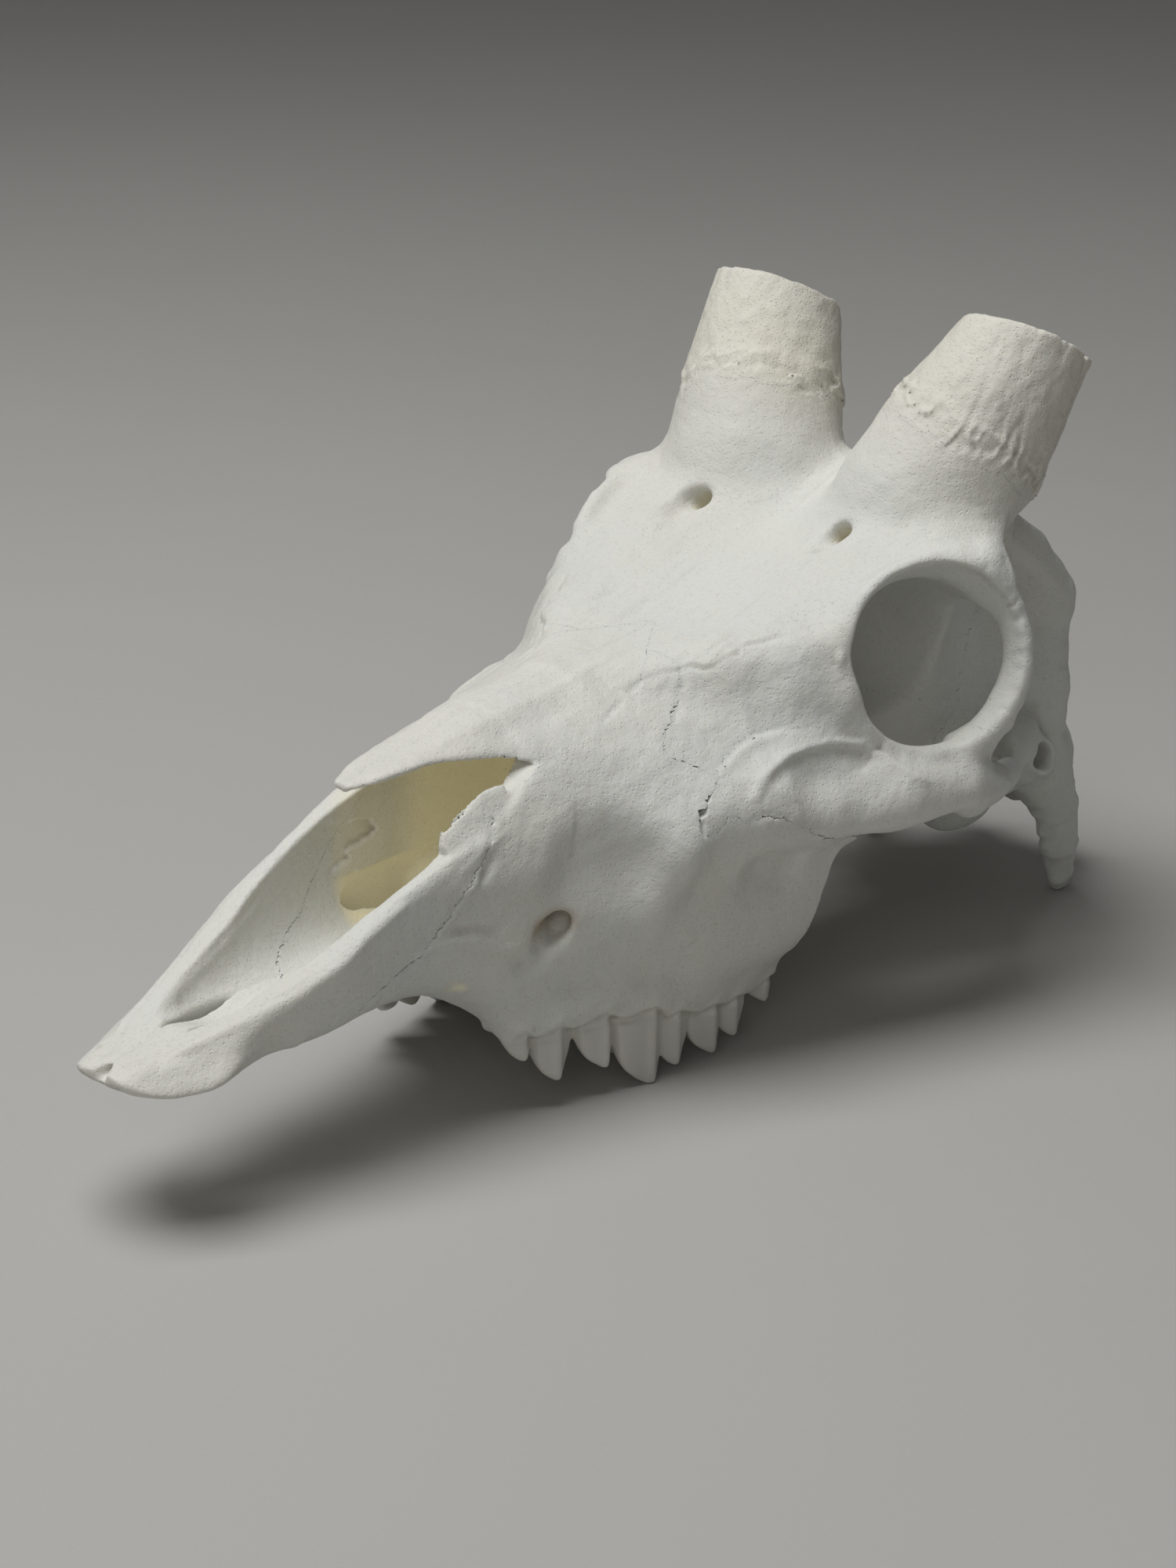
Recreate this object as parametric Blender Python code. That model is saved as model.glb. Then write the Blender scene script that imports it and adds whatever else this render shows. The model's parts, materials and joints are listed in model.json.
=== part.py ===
"""Mountain goat skull: the cranium without its lower jaw, with the horn cores sawn off short.

The whole skull is one form, built from smooth lofts, limbs and hollows in millimetres,
and then parted into its bones by thin saw cuts. In the form's own frame x runs to the
animal's left, s runs back from the front tip, and z is the height above the floor.
"""
import math

import bmesh
import bpy
import numpy as np

# Driving sizes in millimetres
FRONT = 2.2
REAR = 288.7
HALF_WIDTH = 63.0
HEIGHT = 152.0
GRID = 1.2
GAP = 0.3
TRIANGLES = 6350
MM = 0.001
MIDDLE = (FRONT+REAR)/2
EMPTY = 20.0
BARELY_IN = -0.01

# Orbit: middle of its rim, the way it faces, and its radius
RIM = np.array([48.6, 187.3, 81.0])
RIM_OUT = np.array([0.89, -0.386, 0.22])
RIM_RADIUS = 20.2
RIM_FLATNESS = 1.07

# Left horn core: middle of its burr, its axis, the sawn length above the burr, the saw's normal
BURR = np.array([28.0, 222.4, 116.1])
HORN_AXIS = np.array([0.269, 0.48, 0.835])
STUB_LENGTH = 26.2
SAW_NORMAL = np.array([0.03, 0.47, 0.88])

# Cheek teeth of one side, one row per pointed crown lobe: place along the row, outer side,
# tip height, reach to the front, reach to the back, gum height
CROWN_LOBES = (
    (93.0, 22.4, 11.4, 3.4, 3.2, 15.8),
    (100.0, 25.2, 5.8, 4.2, 5.6, 15.4),
    (111.2, 28.0, 5.8, 5.6, 3.4, 15.8),
    (122.6, 30.6, -0.8, 7.8, 4.2, 14.6),
    (129.6, 31.0, 1.6, 3.4, 5.6, 13.4),
    (140.6, 31.6, 0.8, 5.6, 4.0, 12.4),
    (147.6, 31.4, 2.4, 3.6, 5.6, 11.8),
    (158.6, 30.6, 6.6, 5.2, 4.8, 12.8),
)


def unit(vector):
    """Vector of length one."""
    vector = np.array(vector, float)
    return vector/np.linalg.norm(vector)


RIM_OUT = unit(RIM_OUT)
RIM_BACK = unit(np.array([0.40, 0.915, 0.0])-RIM_OUT*(RIM_OUT @ np.array([0.40, 0.915, 0.0])))
RIM_UP = np.cross(RIM_OUT, RIM_BACK)
HORN_AXIS = unit(HORN_AXIS)
SAW_NORMAL = unit(SAW_NORMAL)


# Form tools: each shape is a signed distance with the box that it fills

def curve(*knots):
    """Smooth function through (place, value) knots, level past both ends."""
    places, values = np.array(knots, float).T
    slopes = np.gradient(values, places)
    rises = np.diff(values)/np.diff(places)
    for i in range(1, len(places)-1):
        if rises[i-1]*rises[i] <= 0:
            slopes[i] = 0.0
    slopes[0] = rises[0]
    slopes[-1] = rises[-1]

    def value(place):
        place = np.clip(place, places[0], places[-1])
        i = np.clip(np.searchsorted(places, place, side="right")-1, 0, len(places)-2)
        span = places[i+1]-places[i]
        u = (place-places[i])/span
        return ((1+2*u)*(1-u)**2*values[i]+u*(1-u)**2*span*slopes[i]
                + u*u*(3-2*u)*values[i+1]-u*u*(1-u)*span*slopes[i+1])
    return value


def smooth_min(a, b, blend):
    """The lower of two distances, rounded over a blend width."""
    h = np.clip(0.5+0.5*(b-a)/blend, 0.0, 1.0)
    return b+(a-b)*h-blend*h*(1.0-h)


def smooth_max(a, b, blend):
    """The higher of two distances, rounded over a blend width."""
    return -smooth_min(-a, -b, blend)


def rounded_block(centre, axes, radii, power=2.0):
    """Superellipsoid along three axes."""
    centre = np.array(centre, float)
    axes = np.array([unit(axis) for axis in axes])
    radii = np.array(radii, float)
    reach = np.abs(axes.T) @ radii

    def distance(x, s, z):
        offset = (x-centre[0], s-centre[1], z-centre[2])
        q = [np.abs(sum(axis[k]*offset[k] for k in range(3)))/r for axis, r in zip(axes, radii)]
        level = (sum(v**power for v in q)+1e-12)**(1/power)
        slope = np.sqrt(sum((v**(power-1)/r)**2 for v, r in zip(q, radii)))*(level+1e-9)**(1-power)
        return (level-1.0)/np.maximum(slope, 1/radii.max())
    return distance, centre-reach, centre+reach


def limb(points, radii, flat=1.0, across=(1, 0, 0)):
    """Chain of round cones through points; flat under 1 thins it along the vector across."""
    points = np.array(points, float)
    radii = np.broadcast_to(np.array(radii, float), (len(points),))
    across = unit(across)

    def distance(x, s, z):
        best = np.inf
        for a, b, start, end in zip(points[:-1], points[1:], radii[:-1], radii[1:]):
            along = b-a
            offset = (x-a[0], s-a[1], z-a[2])
            t = np.clip(sum(along[k]*offset[k] for k in range(3))/(along @ along), 0, 1)
            rest = [offset[k]-t*along[k] for k in range(3)]
            square = sum(v*v for v in rest)
            side = sum(across[k]*rest[k] for k in range(3))
            square = square+side*side*(1/flat**2-1)
            best = np.minimum(best, (np.sqrt(square)-start-t*(end-start))*0.5*(1+flat))
        return best
    return distance, points.min(0)-radii.max(), points.max(0)+radii.max()


def loft(start, end, width, top, level, bottom, upper=2.0, lower=2.0):
    """Body along s whose sections are two half superellipses met at a level."""
    given = (width, top, level, bottom, upper, lower)
    laws = [law if callable(law) else (lambda s, law=law: law+0*s) for law in given]
    stations = np.linspace(start, end, 60)
    widest = laws[0](stations).max()
    low = np.array([-widest, start, laws[3](stations).min()])
    high = np.array([widest, end, laws[1](stations).max()])

    def distance(x, s, z):
        w, t, m, b, n_up, n_down = [law(s) for law in laws]
        rise = z-m
        h = np.where(rise > 0, t-m, m-b)
        n = np.where(rise > 0, n_up, n_down)
        a = np.abs(x)/w
        c = np.abs(rise)/h
        q = (a**n+c**n+1e-12)**(1/n)
        slope = np.sqrt((a**(n-1)/w)**2+(c**(n-1)/h)**2)*q**(1-n)+1e-9
        body = (q-1)/np.maximum(slope, 1/np.maximum(w, h))
        return np.maximum(body, np.maximum(start-s, s-end))
    return distance, low, high


class Form:
    """Grid of signed distances over the animal's left half."""

    def __init__(self, low, high, step):
        self.step = step
        self.low = np.array(low, float)
        counts = [int(math.ceil((h-l)/step))+1 for l, h in zip(low, high)]
        self.axes = [self.low[k]+step*np.arange(counts[k]) for k in range(3)]
        self.values = np.full(counts, EMPTY)

    def window(self, low, high, margin):
        """Slices of the grid near a box, with their coordinates."""
        slices = []
        for k in range(3):
            first = np.searchsorted(self.axes[k], low[k]-margin)
            last = np.searchsorted(self.axes[k], high[k]+margin)
            slices.append(slice(first, max(last, first+1)))
        x, s, z = [self.axes[k][slices[k]] for k in range(3)]
        return tuple(slices), x[:, None, None], s[None, :, None], z[None, None, :]

    def add(self, shape, blend):
        """Join a shape with a rounded inner corner."""
        distance, low, high = shape
        near, x, s, z = self.window(low, high, blend+2.5*self.step)
        self.values[near] = smooth_min(self.values[near], distance(x, s, z), blend)

    def cut(self, shape, blend):
        """Take a shape away with a rounded edge."""
        distance, low, high = shape
        near, x, s, z = self.window(low, high, blend+2.5*self.step)
        self.values[near] = smooth_max(self.values[near], -distance(x, s, z), blend)

    def close_crossings(self):
        """Fill the grid points where two sheets of the surface would share an edge or a point."""
        for attempt in range(30):
            found = sum(self.fill_square_diagonals(k) for k in range(3))
            found += sum(self.fill_cell_diagonals(i, j) for i in (0, 1) for j in (0, 1))
            if found == 0:
                break

    def fill_square_diagonals(self, k):
        """Mend the grid squares across axis k whose opposite corners alone are filled."""
        u = (k+1) % 3
        v = (k+2) % 3
        inside = np.moveaxis(self.values < 0, (u, v), (0, 1))
        values = np.moveaxis(self.values, (u, v), (0, 1))
        first = inside[:-1, :-1]
        second = inside[1:, :-1]
        crossing = (first == inside[1:, 1:]) & (second == inside[:-1, 1:]) & (first != second)
        for i, j, m in np.argwhere(crossing):
            corner = (i+1, j, m) if values[i, j, m] < 0 else (i, j, m)
            values[corner] = BARELY_IN
        return int(crossing.sum())

    def fill_cell_diagonals(self, i, j):
        """Mend the grid cells where the two ends of one long diagonal differ from all the rest."""
        inside = self.values < 0
        cells = tuple(n-1 for n in inside.shape)

        def corner(a, b, c):
            return inside[a:a+cells[0], b:b+cells[1], c:c+cells[2]]
        start = corner(i, j, 0)
        end = corner(1-i, 1-j, 1)
        total = sum(corner(a, b, c).astype(int) for a in (0, 1) for b in (0, 1) for c in (0, 1))
        lone = start & end & (total == 2)
        holes = ~start & ~end & (total == 6)
        for a, b, c in np.argwhere(lone):
            self.values[a+1-i, b+j, c] = BARELY_IN
        for a, b, c in np.argwhere(holes):
            self.values[a+i, b+j, c] = BARELY_IN
        return int(lone.sum()+holes.sum())

    def skin(self):
        """Closed quad skin of both halves, one point in each grid cell that the surface crosses."""
        self.close_crossings()
        values = np.concatenate([self.values[::-1], self.values], 0)
        low = np.array([-self.axes[0][-1], self.low[1], self.low[2]])
        inside = values < 0
        cells = tuple(n-1 for n in values.shape)
        corners = [(i, j, k) for i in (0, 1) for j in (0, 1) for k in (0, 1)]
        filled = sum(inside[i:i+cells[0], j:j+cells[1], k:k+cells[2]].astype(int) for i, j, k in corners)
        crossed = (filled > 0) & (filled < 8)
        place = np.argwhere(crossed)
        number = np.full(cells, -1)
        number[crossed] = np.arange(len(place))
        at_corner = np.stack([values[place[:, 0]+i, place[:, 1]+j, place[:, 2]+k] for i, j, k in corners], 1)
        total = np.zeros((len(place), 3))
        count = np.zeros(len(place))
        for a in range(8):
            for b in range(a+1, 8):
                edge = np.array(corners[b])-np.array(corners[a])
                if np.abs(edge).sum() != 1:
                    continue
                crossing = (at_corner[:, a] < 0) != (at_corner[:, b] < 0)
                start = at_corner[crossing, a]
                share = start/(start-at_corner[crossing, b])
                total[crossing] += np.array(corners[a])+share[:, None]*edge
                count[crossing] += 1
        points = low+self.step*(place+total/count[:, None])
        quads = [self.faces_across(inside, number, k) for k in range(3)]
        return points, np.concatenate(quads)

    @staticmethod
    def faces_across(inside, number, k):
        """Quads round each grid edge along axis k that the surface crosses."""
        before = [slice(1, -1)]*3
        after = [slice(1, -1)]*3
        before[k] = slice(0, -1)
        after[k] = slice(1, None)
        first = inside[tuple(before)]
        second = inside[tuple(after)]
        shift = np.array([1, 1, 1])
        shift[k] = 0
        edge = np.argwhere(first != second)+shift
        backward = ~first[first != second]
        u = (k+1) % 3
        v = (k+2) % 3
        ring = []
        for du, dv in ((-1, -1), (0, -1), (0, 0), (-1, 0)):
            cell = edge.copy()
            cell[:, u] += du
            cell[:, v] += dv
            ring.append(number[cell[:, 0], cell[:, 1], cell[:, 2]])
        quads = np.stack(ring, 1)
        quads[backward] = quads[backward][:, ::-1]
        return quads


# Snout

def face():
    """Snout and cheeks back to the orbits."""
    width = curve((0, 12), (20, 13.6), (34, 15.6), (46, 17.9), (70, 20.0), (82, 22.6), (92, 25.2),
                  (104, 28.6), (118, 33.2), (132, 37.5), (146, 40), (160, 41.5), (176, 43))
    top = curve((0, 66), (64, 72.0), (79, 74.6), (87, 76.6), (95, 78.4), (103, 79.3), (111, 80.0),
                (123, 81.7), (134, 83.1), (148, 84.9), (161, 88.4), (171, 90.5), (180, 92))
    level = curve((0, 40), (60, 50), (75, 53), (90, 50), (110, 54), (130, 58), (150, 60), (170, 62))
    bottom = curve((0, 29), (22, 26.8), (43, 26.8), (58, 27.8), (70, 27.6), (79, 25.4), (86, 21.0),
                   (91, 16.8), (96, 15.2), (110, 15.5), (122, 13.4), (136, 11.4), (150, 11), (166, 14))
    upper = curve((60, 1.8), (90, 1.66), (101, 1.66), (112, 1.6), (122, 1.5), (135, 1.5), (150, 1.7),
                  (176, 2.2))
    lower = curve((0, 2.8), (30, 3.4), (75, 3.4), (95, 4.0), (120, 4.4), (166, 4.4))
    return loft(16, 176, width, top, level, bottom, upper, lower)


def lobes():
    """Flat spatulate front ends of the premaxillae."""
    width = curve((2.2, 5.0), (4, 9.0), (8, 13.4), (12, 15.8), (17, 16.6), (22, 15.8), (30, 13.5),
                  (38, 11.5))
    top = curve((2.2, 31.4), (5, 32.6), (12, 33.8), (24, 35.6), (38, 35))
    level = curve((2.2, 30.4), (12, 29.8), (24, 30.6), (38, 32))
    bottom = curve((2.2, 29.6), (5, 28.2), (12, 26.9), (24, 27.0), (38, 29.5))
    return loft(FRONT, 38, width, top, level, bottom, 2.2, 2.2)


def lobe_notch():
    """Notch between the two lobes."""
    return limb([(0, -1, 31), (0, 6.0, 31)], [2.6, 0.7])


def nasal_opening():
    """Everything above the premaxillae as far back as the notch under the nasal bones."""
    rim = curve((-5, 32), (4, 33), (12, 34.2), (22, 37.0), (40, 42.8), (46, 45.3), (52, 49.0), (58, 52.1),
                (70, 57.1), (82, 61.3), (88, 63.4), (94, 67), (100, 71.5), (104, 74))
    crest = curve((0, 4), (16, 8.6), (28, 11.8), (40, 15.2), (46, 16.6), (58, 17.6), (70, 18.5),
                  (82, 21), (100, 22))

    def distance(x, s, z):
        above = rim(s)-0.9*np.maximum(x-crest(s), 0)-z
        return np.maximum(0.8*above, s-101)
    return distance, np.array([-60., -6., 28.]), np.array([60., 104., 110.])


def nasal_cavity():
    """Hollow of the snout behind and under the opening."""
    width = curve((20, 5.5), (30, 8.5), (44, 11.5), (58, 13.8), (72, 15.8), (85, 16.8), (100, 17.5),
                  (120, 17), (140, 12))
    top = curve((20, 58), (62, 69.0), (80, 72.0), (96, 74.5), (114, 77), (126, 75.5), (140, 72.5))
    level = curve((20, 40), (60, 50), (90, 50), (140, 56))
    bottom = curve((20, 36), (28, 33.5), (44, 33.0), (100, 33), (120, 36), (140, 44))
    return loft(20, 140, width, top, level, bottom, 2.2, 2.6)


def nasal_roof():
    """Pair of arched nasal bones with blunt free tips."""
    top = curve((62, 72.2), (67, 72.9), (79, 74.9), (87, 76.9), (95, 78.7), (103, 79.5), (112, 79.8),
                (124, 79.0), (136, 77))
    edge = curve((62, 71.4), (66, 71.8), (72, 73.1), (83, 73.9), (89, 73.7), (95.5, 73.0), (101, 71.5),
                 (112, 69.5), (136, 68))
    width = curve((62, 2.2), (65, 3.6), (68, 4.7), (72, 5.9), (83, 8.3), (89, 10.4), (95.5, 12.9),
                  (101, 15.8), (112, 17.0), (136, 18))
    thickness = 2.2
    tip = 63.4
    back = 134

    def distance(x, s, z):
        half = width(s)
        u = np.clip(x/half, 0, 1.25)
        crown = top(s)-(top(s)-edge(s))*u**1.9-0.5*np.exp(-(x/1.1)**2)
        under = crown-thickness-0.6*(1-u)
        plate = np.maximum(z-crown, under-z)*0.9
        plate = smooth_max(plate, (x-half)*0.9, 1.2)
        plate = smooth_max(plate, tip+0.5*np.abs(x-1.6)-s, 1.5)
        return smooth_max(plate, s-back, 1.0)
    return distance, np.array([-24., 58., 64.]), np.array([24., 136., 90.])


def infraorbital_foramen():
    """Nerve opening low on the side of the snout."""
    return limb([(31, 91, 36.5), (26.6, 95.5, 38.4), (23.4, 101, 40.2)], [2.6, 3.2, 2.2])


def palate_vault():
    """Trough between the tooth rows."""
    width = curve((76, 10), (90, 13), (110, 16), (140, 18.5), (160, 18.5), (176, 18))
    top = curve((74, 28.5), (92, 29.5), (120, 28), (150, 26), (182, 30))
    return loft(74, 182, width, top, -2, -30, 2.6, 2.6)


def alveolar_edge():
    """Edge of the jaw that holds the cheek teeth."""
    radii = np.array([3.6, 4.4, 4.8, 4.8, 4.8, 4.8, 4.6, 4.0])
    overhang = 0.5
    points = []
    for lobe, radius in zip(CROWN_LOBES, radii):
        place, outer_side, gum = lobe[0], lobe[1], lobe[-1]
        points.append((outer_side+overhang-radius, place, gum+radius-overhang))
    return limb(points, radii)


def crown_lobe(place, outer_side, tip, front, back, gum):
    """Pointed lobe of a cheek tooth: ribbed cheek side, lower tongue side, root in the jaw."""
    depth = 10.0
    tip_radius = 1.6
    rib_height = 0.9
    root = 4.0

    def distance(x, s, z):
        along = s-place
        half = np.where(along < 0, front, back)
        rounded = np.sqrt(along*along+tip_radius**2)-tip_radius
        slant = 1.15+0.35*np.clip(along/3, -1, 1)
        height = np.clip((z-tip)/(gum-tip), 0.0, 1.15)
        reach = half*(0.84+0.26*height**0.6)
        bow = 1.3*(along/half)**2
        rib = rib_height*np.exp(-(along/1.4)**2)
        cheek_side = outer_side-0.4-bow+rib
        tongue_side = outer_side-depth+bow
        valley = 2.0*np.exp(-((x-outer_side+4.4)/2.2)**2)
        step = 4.0*np.clip((outer_side-3.5-x)/3.5, 0, 1)
        crown = smooth_max(np.abs(along)-reach, 0.62*(tip+valley+step+slant*rounded-z), 1.6)
        crown = smooth_max(crown, x-cheek_side, 0.8)
        crown = smooth_max(crown, tongue_side-x, 0.8)
        return smooth_max(crown, z-gum-root, 1.0)
    low = np.array([outer_side-depth-2, place-front-2, tip-1])
    return distance, low, np.array([outer_side+2, place+back+2, gum+root+2])


# Forehead, orbits and horns

def forehead():
    """Frontal bones with the roofs of the orbits."""
    width = curve((128, 6), (138, 16), (150, 27), (160, 34.5), (167, 39), (175, 42.5), (182, 45.5),
                  (188, 47.8), (194, 49.4), (201, 51.0), (206, 51.0), (212, 48), (218, 43), (226, 37),
                  (234, 32))
    top = curve((128, 77), (138, 82), (150, 85.8), (160, 88.5), (167, 91), (175, 95.2), (182, 98.4),
                (190, 100.8), (200, 103), (212, 104.8), (222, 105.4), (234, 99))
    level = curve((128, 70), (138, 74), (150, 78), (160, 80), (167, 82), (175, 87), (190, 92), (215, 94),
                  (234, 92))
    bottom = curve((128, 60), (167, 62), (200, 66), (234, 60))
    upper = curve((128, 3.6), (167, 3.6), (182, 4.6), (200, 4.6), (212, 3.6))
    return loft(128, 234, width, top, level, bottom, upper, 2.2)


def forehead_dish():
    """Shallow hollow along the middle of the forehead."""
    radius = 60
    floor = ((136, 82.8), (145, 84.4), (158, 88.8), (171, 93.4), (182, 97.4), (192, 100.8), (205, 105.2),
             (222, 110.4))
    return limb([(0, s, z+radius) for s, z in floor], radius)


def middle_mass():
    """Solid middle of the skull between the orbits."""
    width = curve((150, 30), (170, 27), (190, 24), (215, 27), (232, 30))
    top = curve((150, 84), (175, 90), (200, 98), (232, 102))
    bottom = curve((150, 38), (175, 42), (200, 42), (232, 36))
    return loft(150, 232, width, top, 66, bottom, 2.4, 2.2)


def orbit_ring():
    """Raised rim of the orbit, broadest at the back and below."""
    points = []
    radii = []
    for turn in np.linspace(0, 2*math.pi, 33):
        radius = 0.9+1.0*max(0.0, math.cos(turn+1.25))**0.9
        radial = math.cos(turn)*RIM_BACK+math.sin(turn)/RIM_FLATNESS*RIM_UP
        points.append(RIM+(RIM_RADIUS+0.75*radius)*radial-(0.6+0.8*radius)*RIM_OUT)
        radii.append(radius)
    return limb(points, radii)


def orbit_bowl():
    """Deep part of the eye socket."""
    centre = RIM-13.0*RIM_OUT-1.4*RIM_BACK-1.4*RIM_UP
    return rounded_block(centre, [RIM_OUT, RIM_BACK, RIM_UP], [24.0, 17.6, 17.4], 2.3)


def orbit_mouth():
    """Outer part of the eye socket, a cone that is widest at the rim and leans in most at the back."""
    reach = 14
    middle = 6

    def distance(x, s, z):
        offset = (x-RIM[0], s-RIM[1], z-RIM[2])
        out = sum(RIM_OUT[k]*offset[k] for k in range(3))
        back = sum(RIM_BACK[k]*offset[k] for k in range(3))
        up = sum(RIM_UP[k]*offset[k] for k in range(3))
        radius = np.sqrt(back*back+(RIM_FLATNESS*up)**2)
        lean = 0.34+0.30*np.clip((back-0.4*up)/(radius+1e-9), 0, 1)+0.16*np.clip(up/(radius+1e-9), 0, 1)
        flare = np.where(out > 0, 0.12*np.minimum(out, 12), lean*out)
        return np.maximum(radius-(RIM_RADIUS+flare), np.abs(out-middle)-reach)
    return distance, RIM-34, RIM+34


def cheek_bone():
    """Zygomatic bone from the face, under the orbit, to the arch."""
    return limb([(33, 126, 54), (38, 142, 55), (44.0, 160, 55), (49.3, 176, 53.4), (53.2, 191, 52.4),
                 (53, 203, 50)], [4.5, 7.5, 8.0, 7.4, 6.7, 5.0])


def zygomatic_arch():
    """Arch back to the side of the braincase."""
    return limb([(53.5, 196, 50), (51.5, 208, 48.5), (46.5, 220, 47.0), (40, 232, 47), (33, 242, 46)],
                [5.0, 3.6, 3.4, 4.2, 6.5], 0.75, (1, 0.3, 0))


def postorbital_bar():
    """Strut behind the orbit."""
    radii = [4.4, 4.8, 5.0, 5.0, 5.0, 5.0, 5.0, 5.2, 5.6]
    depth = 4.8
    points = []
    for turn in np.linspace(0.8, -1.2, len(radii)):
        radial = math.cos(turn)*RIM_BACK+math.sin(turn)*RIM_UP
        points.append(RIM+(RIM_RADIUS+1.4)*radial-depth*RIM_OUT)
    return limb(points, radii, 0.58, RIM_BACK)


def pedicle():
    """Base of the horn core below the burr."""
    foot = BURR-HORN_AXIS*22+np.array([-1, 0, -2])
    return limb([foot, BURR-HORN_AXIS*10, BURR-HORN_AXIS*2], [16.2, 16.0, 16.8])


def horn_foot_web():
    """Smooth slope from the foot of the horn down to the rear of the orbit's roof."""
    return limb([(25, 213, 98), (35, 207, 93.5), (42.5, 201.5, 91.5)], [12.5, 10, 7.5])


def horn_core():
    """Tapering core above the burr."""
    return limb([BURR-HORN_AXIS*16, BURR, BURR+HORN_AXIS*(STUB_LENGTH+8)], [19, 18.3, 12.9])


def saw_cut():
    """Everything past the plane that the horns were sawn along."""
    centre = BURR+HORN_AXIS*STUB_LENGTH

    def distance(x, s, z):
        offset = (x-centre[0], s-centre[1], z-centre[2])
        return -sum(SAW_NORMAL[k]*offset[k] for k in range(3))
    return distance, centre-np.array([30, 25, 20]), centre+np.array([30, 40, 40])


def supraorbital_foramen():
    """Vessel opening in the forehead in front of the horn."""
    return limb([(19.8, 188, 103.5), (19.6, 192.0, 100.2), (19.2, 196.5, 97.0)], [1.9, 2.4, 2.0])


def supraorbital_groove():
    """Groove that runs forward from the opening."""
    return limb([(19.6, 189.5, 101.9), (19.0, 184, 99.9), (18.4, 178.5, 97.8)], [2.6, 2.1, 0.9])


# Braincase and base

def braincase():
    """Rear box of the skull."""
    width = curve((196, 24), (210, 29), (225, 31.5), (240, 32.5), (254, 32), (266, 27), (276, 18))
    top = curve((196, 100), (214, 104), (224, 104.8), (234, 100.5), (246, 94.5), (257, 89.5), (266, 82),
                (272, 70), (276, 60))
    level = curve((196, 70), (225, 64), (250, 56), (276, 45))
    bottom = curve((196, 44), (215, 34), (235, 26), (255, 24), (268, 26), (276, 30))
    upper = curve((196, 2.1), (222, 2.5), (238, 3.4), (257, 3.2), (276, 2.3))
    return loft(196, 276, width, top, level, bottom, upper, 2.3)


def nuchal_crest():
    """Ridge round the back of the braincase."""
    return limb([(0, 263, 85), (12, 261.5, 83.5), (23, 257.5, 79), (29, 257, 71), (31, 256.5, 60),
                 (31, 255.5, 46), (30, 256, 32)], [5.0, 4.6, 4.2, 4.0, 4.2, 4.4, 4.6])


def temporal_line():
    """Ridge from the back of the horn pedicle down to the nuchal crest."""
    return limb([(28, 226, 102), (24.5, 240, 94.5), (27, 250, 87), (30, 257, 76)], [6, 4.2, 4.0, 3.6])


def temporal_fossa():
    """Hollow on the side of the braincase for the jaw muscle."""
    return rounded_block((49, 228, 76), [(1, 0.15, -0.12), (-0.15, 1, 0), (0.12, 0, 1)], [19.5, 21, 27], 2.3)


def gap_behind_bar():
    """Way from the orbit into the temporal fossa, inside the bar."""
    return rounded_block((43.5, 211.5, 73), np.eye(3), [6.0, 12.5, 13.5], 2.3)


def gap_under_arch():
    """Space inside the arch, open below."""
    return limb([(38, 196, 40), (37, 208, 44), (37, 218, 48)], [9, 9.5, 9])


def gap_behind_teeth():
    """Space behind the rear end of the tooth-bearing jaw."""
    rim = curve((161, 8), (162.5, 24), (165, 34), (170, 41), (179, 45.8), (200, 46.5))
    inner_side = 15.5

    def distance(x, s, z):
        return np.maximum(z-rim(s), inner_side-x)*0.8
    return distance, np.array([12., 158., -5.]), np.array([70., 212., 46.])


def skull_base():
    """Bar of bone along the underside."""
    return limb([(0, 178, 52), (0, 200, 46), (0, 222, 36), (0, 245, 29), (0, 268, 26), (0, 278, 27)],
                [12, 13, 12, 10.5, 9.5, 9])


def palatine_wing():
    """Thin upright plate beside the inner nostril."""
    return limb([(11, 150, 32), (11.5, 170, 36), (12.5, 190, 36), (13, 206, 34), (12.5, 221, 30)],
                [13, 12, 10, 8, 4.5], 0.16, (1, 0.02, 0.0))


def inner_nostril():
    """Channel between the palatine wings."""
    width = curve((156, 9.0), (200, 10.0), (232, 9.5))
    top = curve((156, 42), (178, 43), (200, 36), (232, 24))
    return loft(156, 232, width, top, 15, -10, 2.2, 2.2)


def condyle():
    """Joint knob beside the great foramen."""
    return limb([(15, 277, 36), (13.5, 281.0, 28), (7.5, 280.5, 20.5)], [6.5, 7.8, 6.0])


def great_foramen():
    """Opening for the spinal cord."""
    return rounded_block((0, 282, 37), np.eye(3), (9.5, 18, 9.0))


def paracondylar_process():
    """Long prong beside the condyle, which the skull rests on."""
    return limb([(31, 257, 34), (30.5, 263, 24), (29.5, 267.5, 13), (28, 270.5, 4.9), (27.6, 271, 2.9)],
                [7.6, 6.4, 5.2, 4.0, 3.3], 0.62, (1, -0.25, 0.1))


def ear_bulla():
    """Swelling under the ear."""
    return rounded_block((19, 240, 30), [(1, 0, 0), (0, 1, 0.15), (0, -0.15, 1)], [7.0, 11.5, 8.0], 2.2)


def ear_tube():
    """Short bony tube of the ear."""
    return limb([(28, 245, 38), (35.5, 246.5, 41)], [7.0, 4.8])


def ear_hole():
    """Bore of the ear tube."""
    return limb([(29, 245.5, 41), (41, 246, 42)], [2.8, 3.2])


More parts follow.
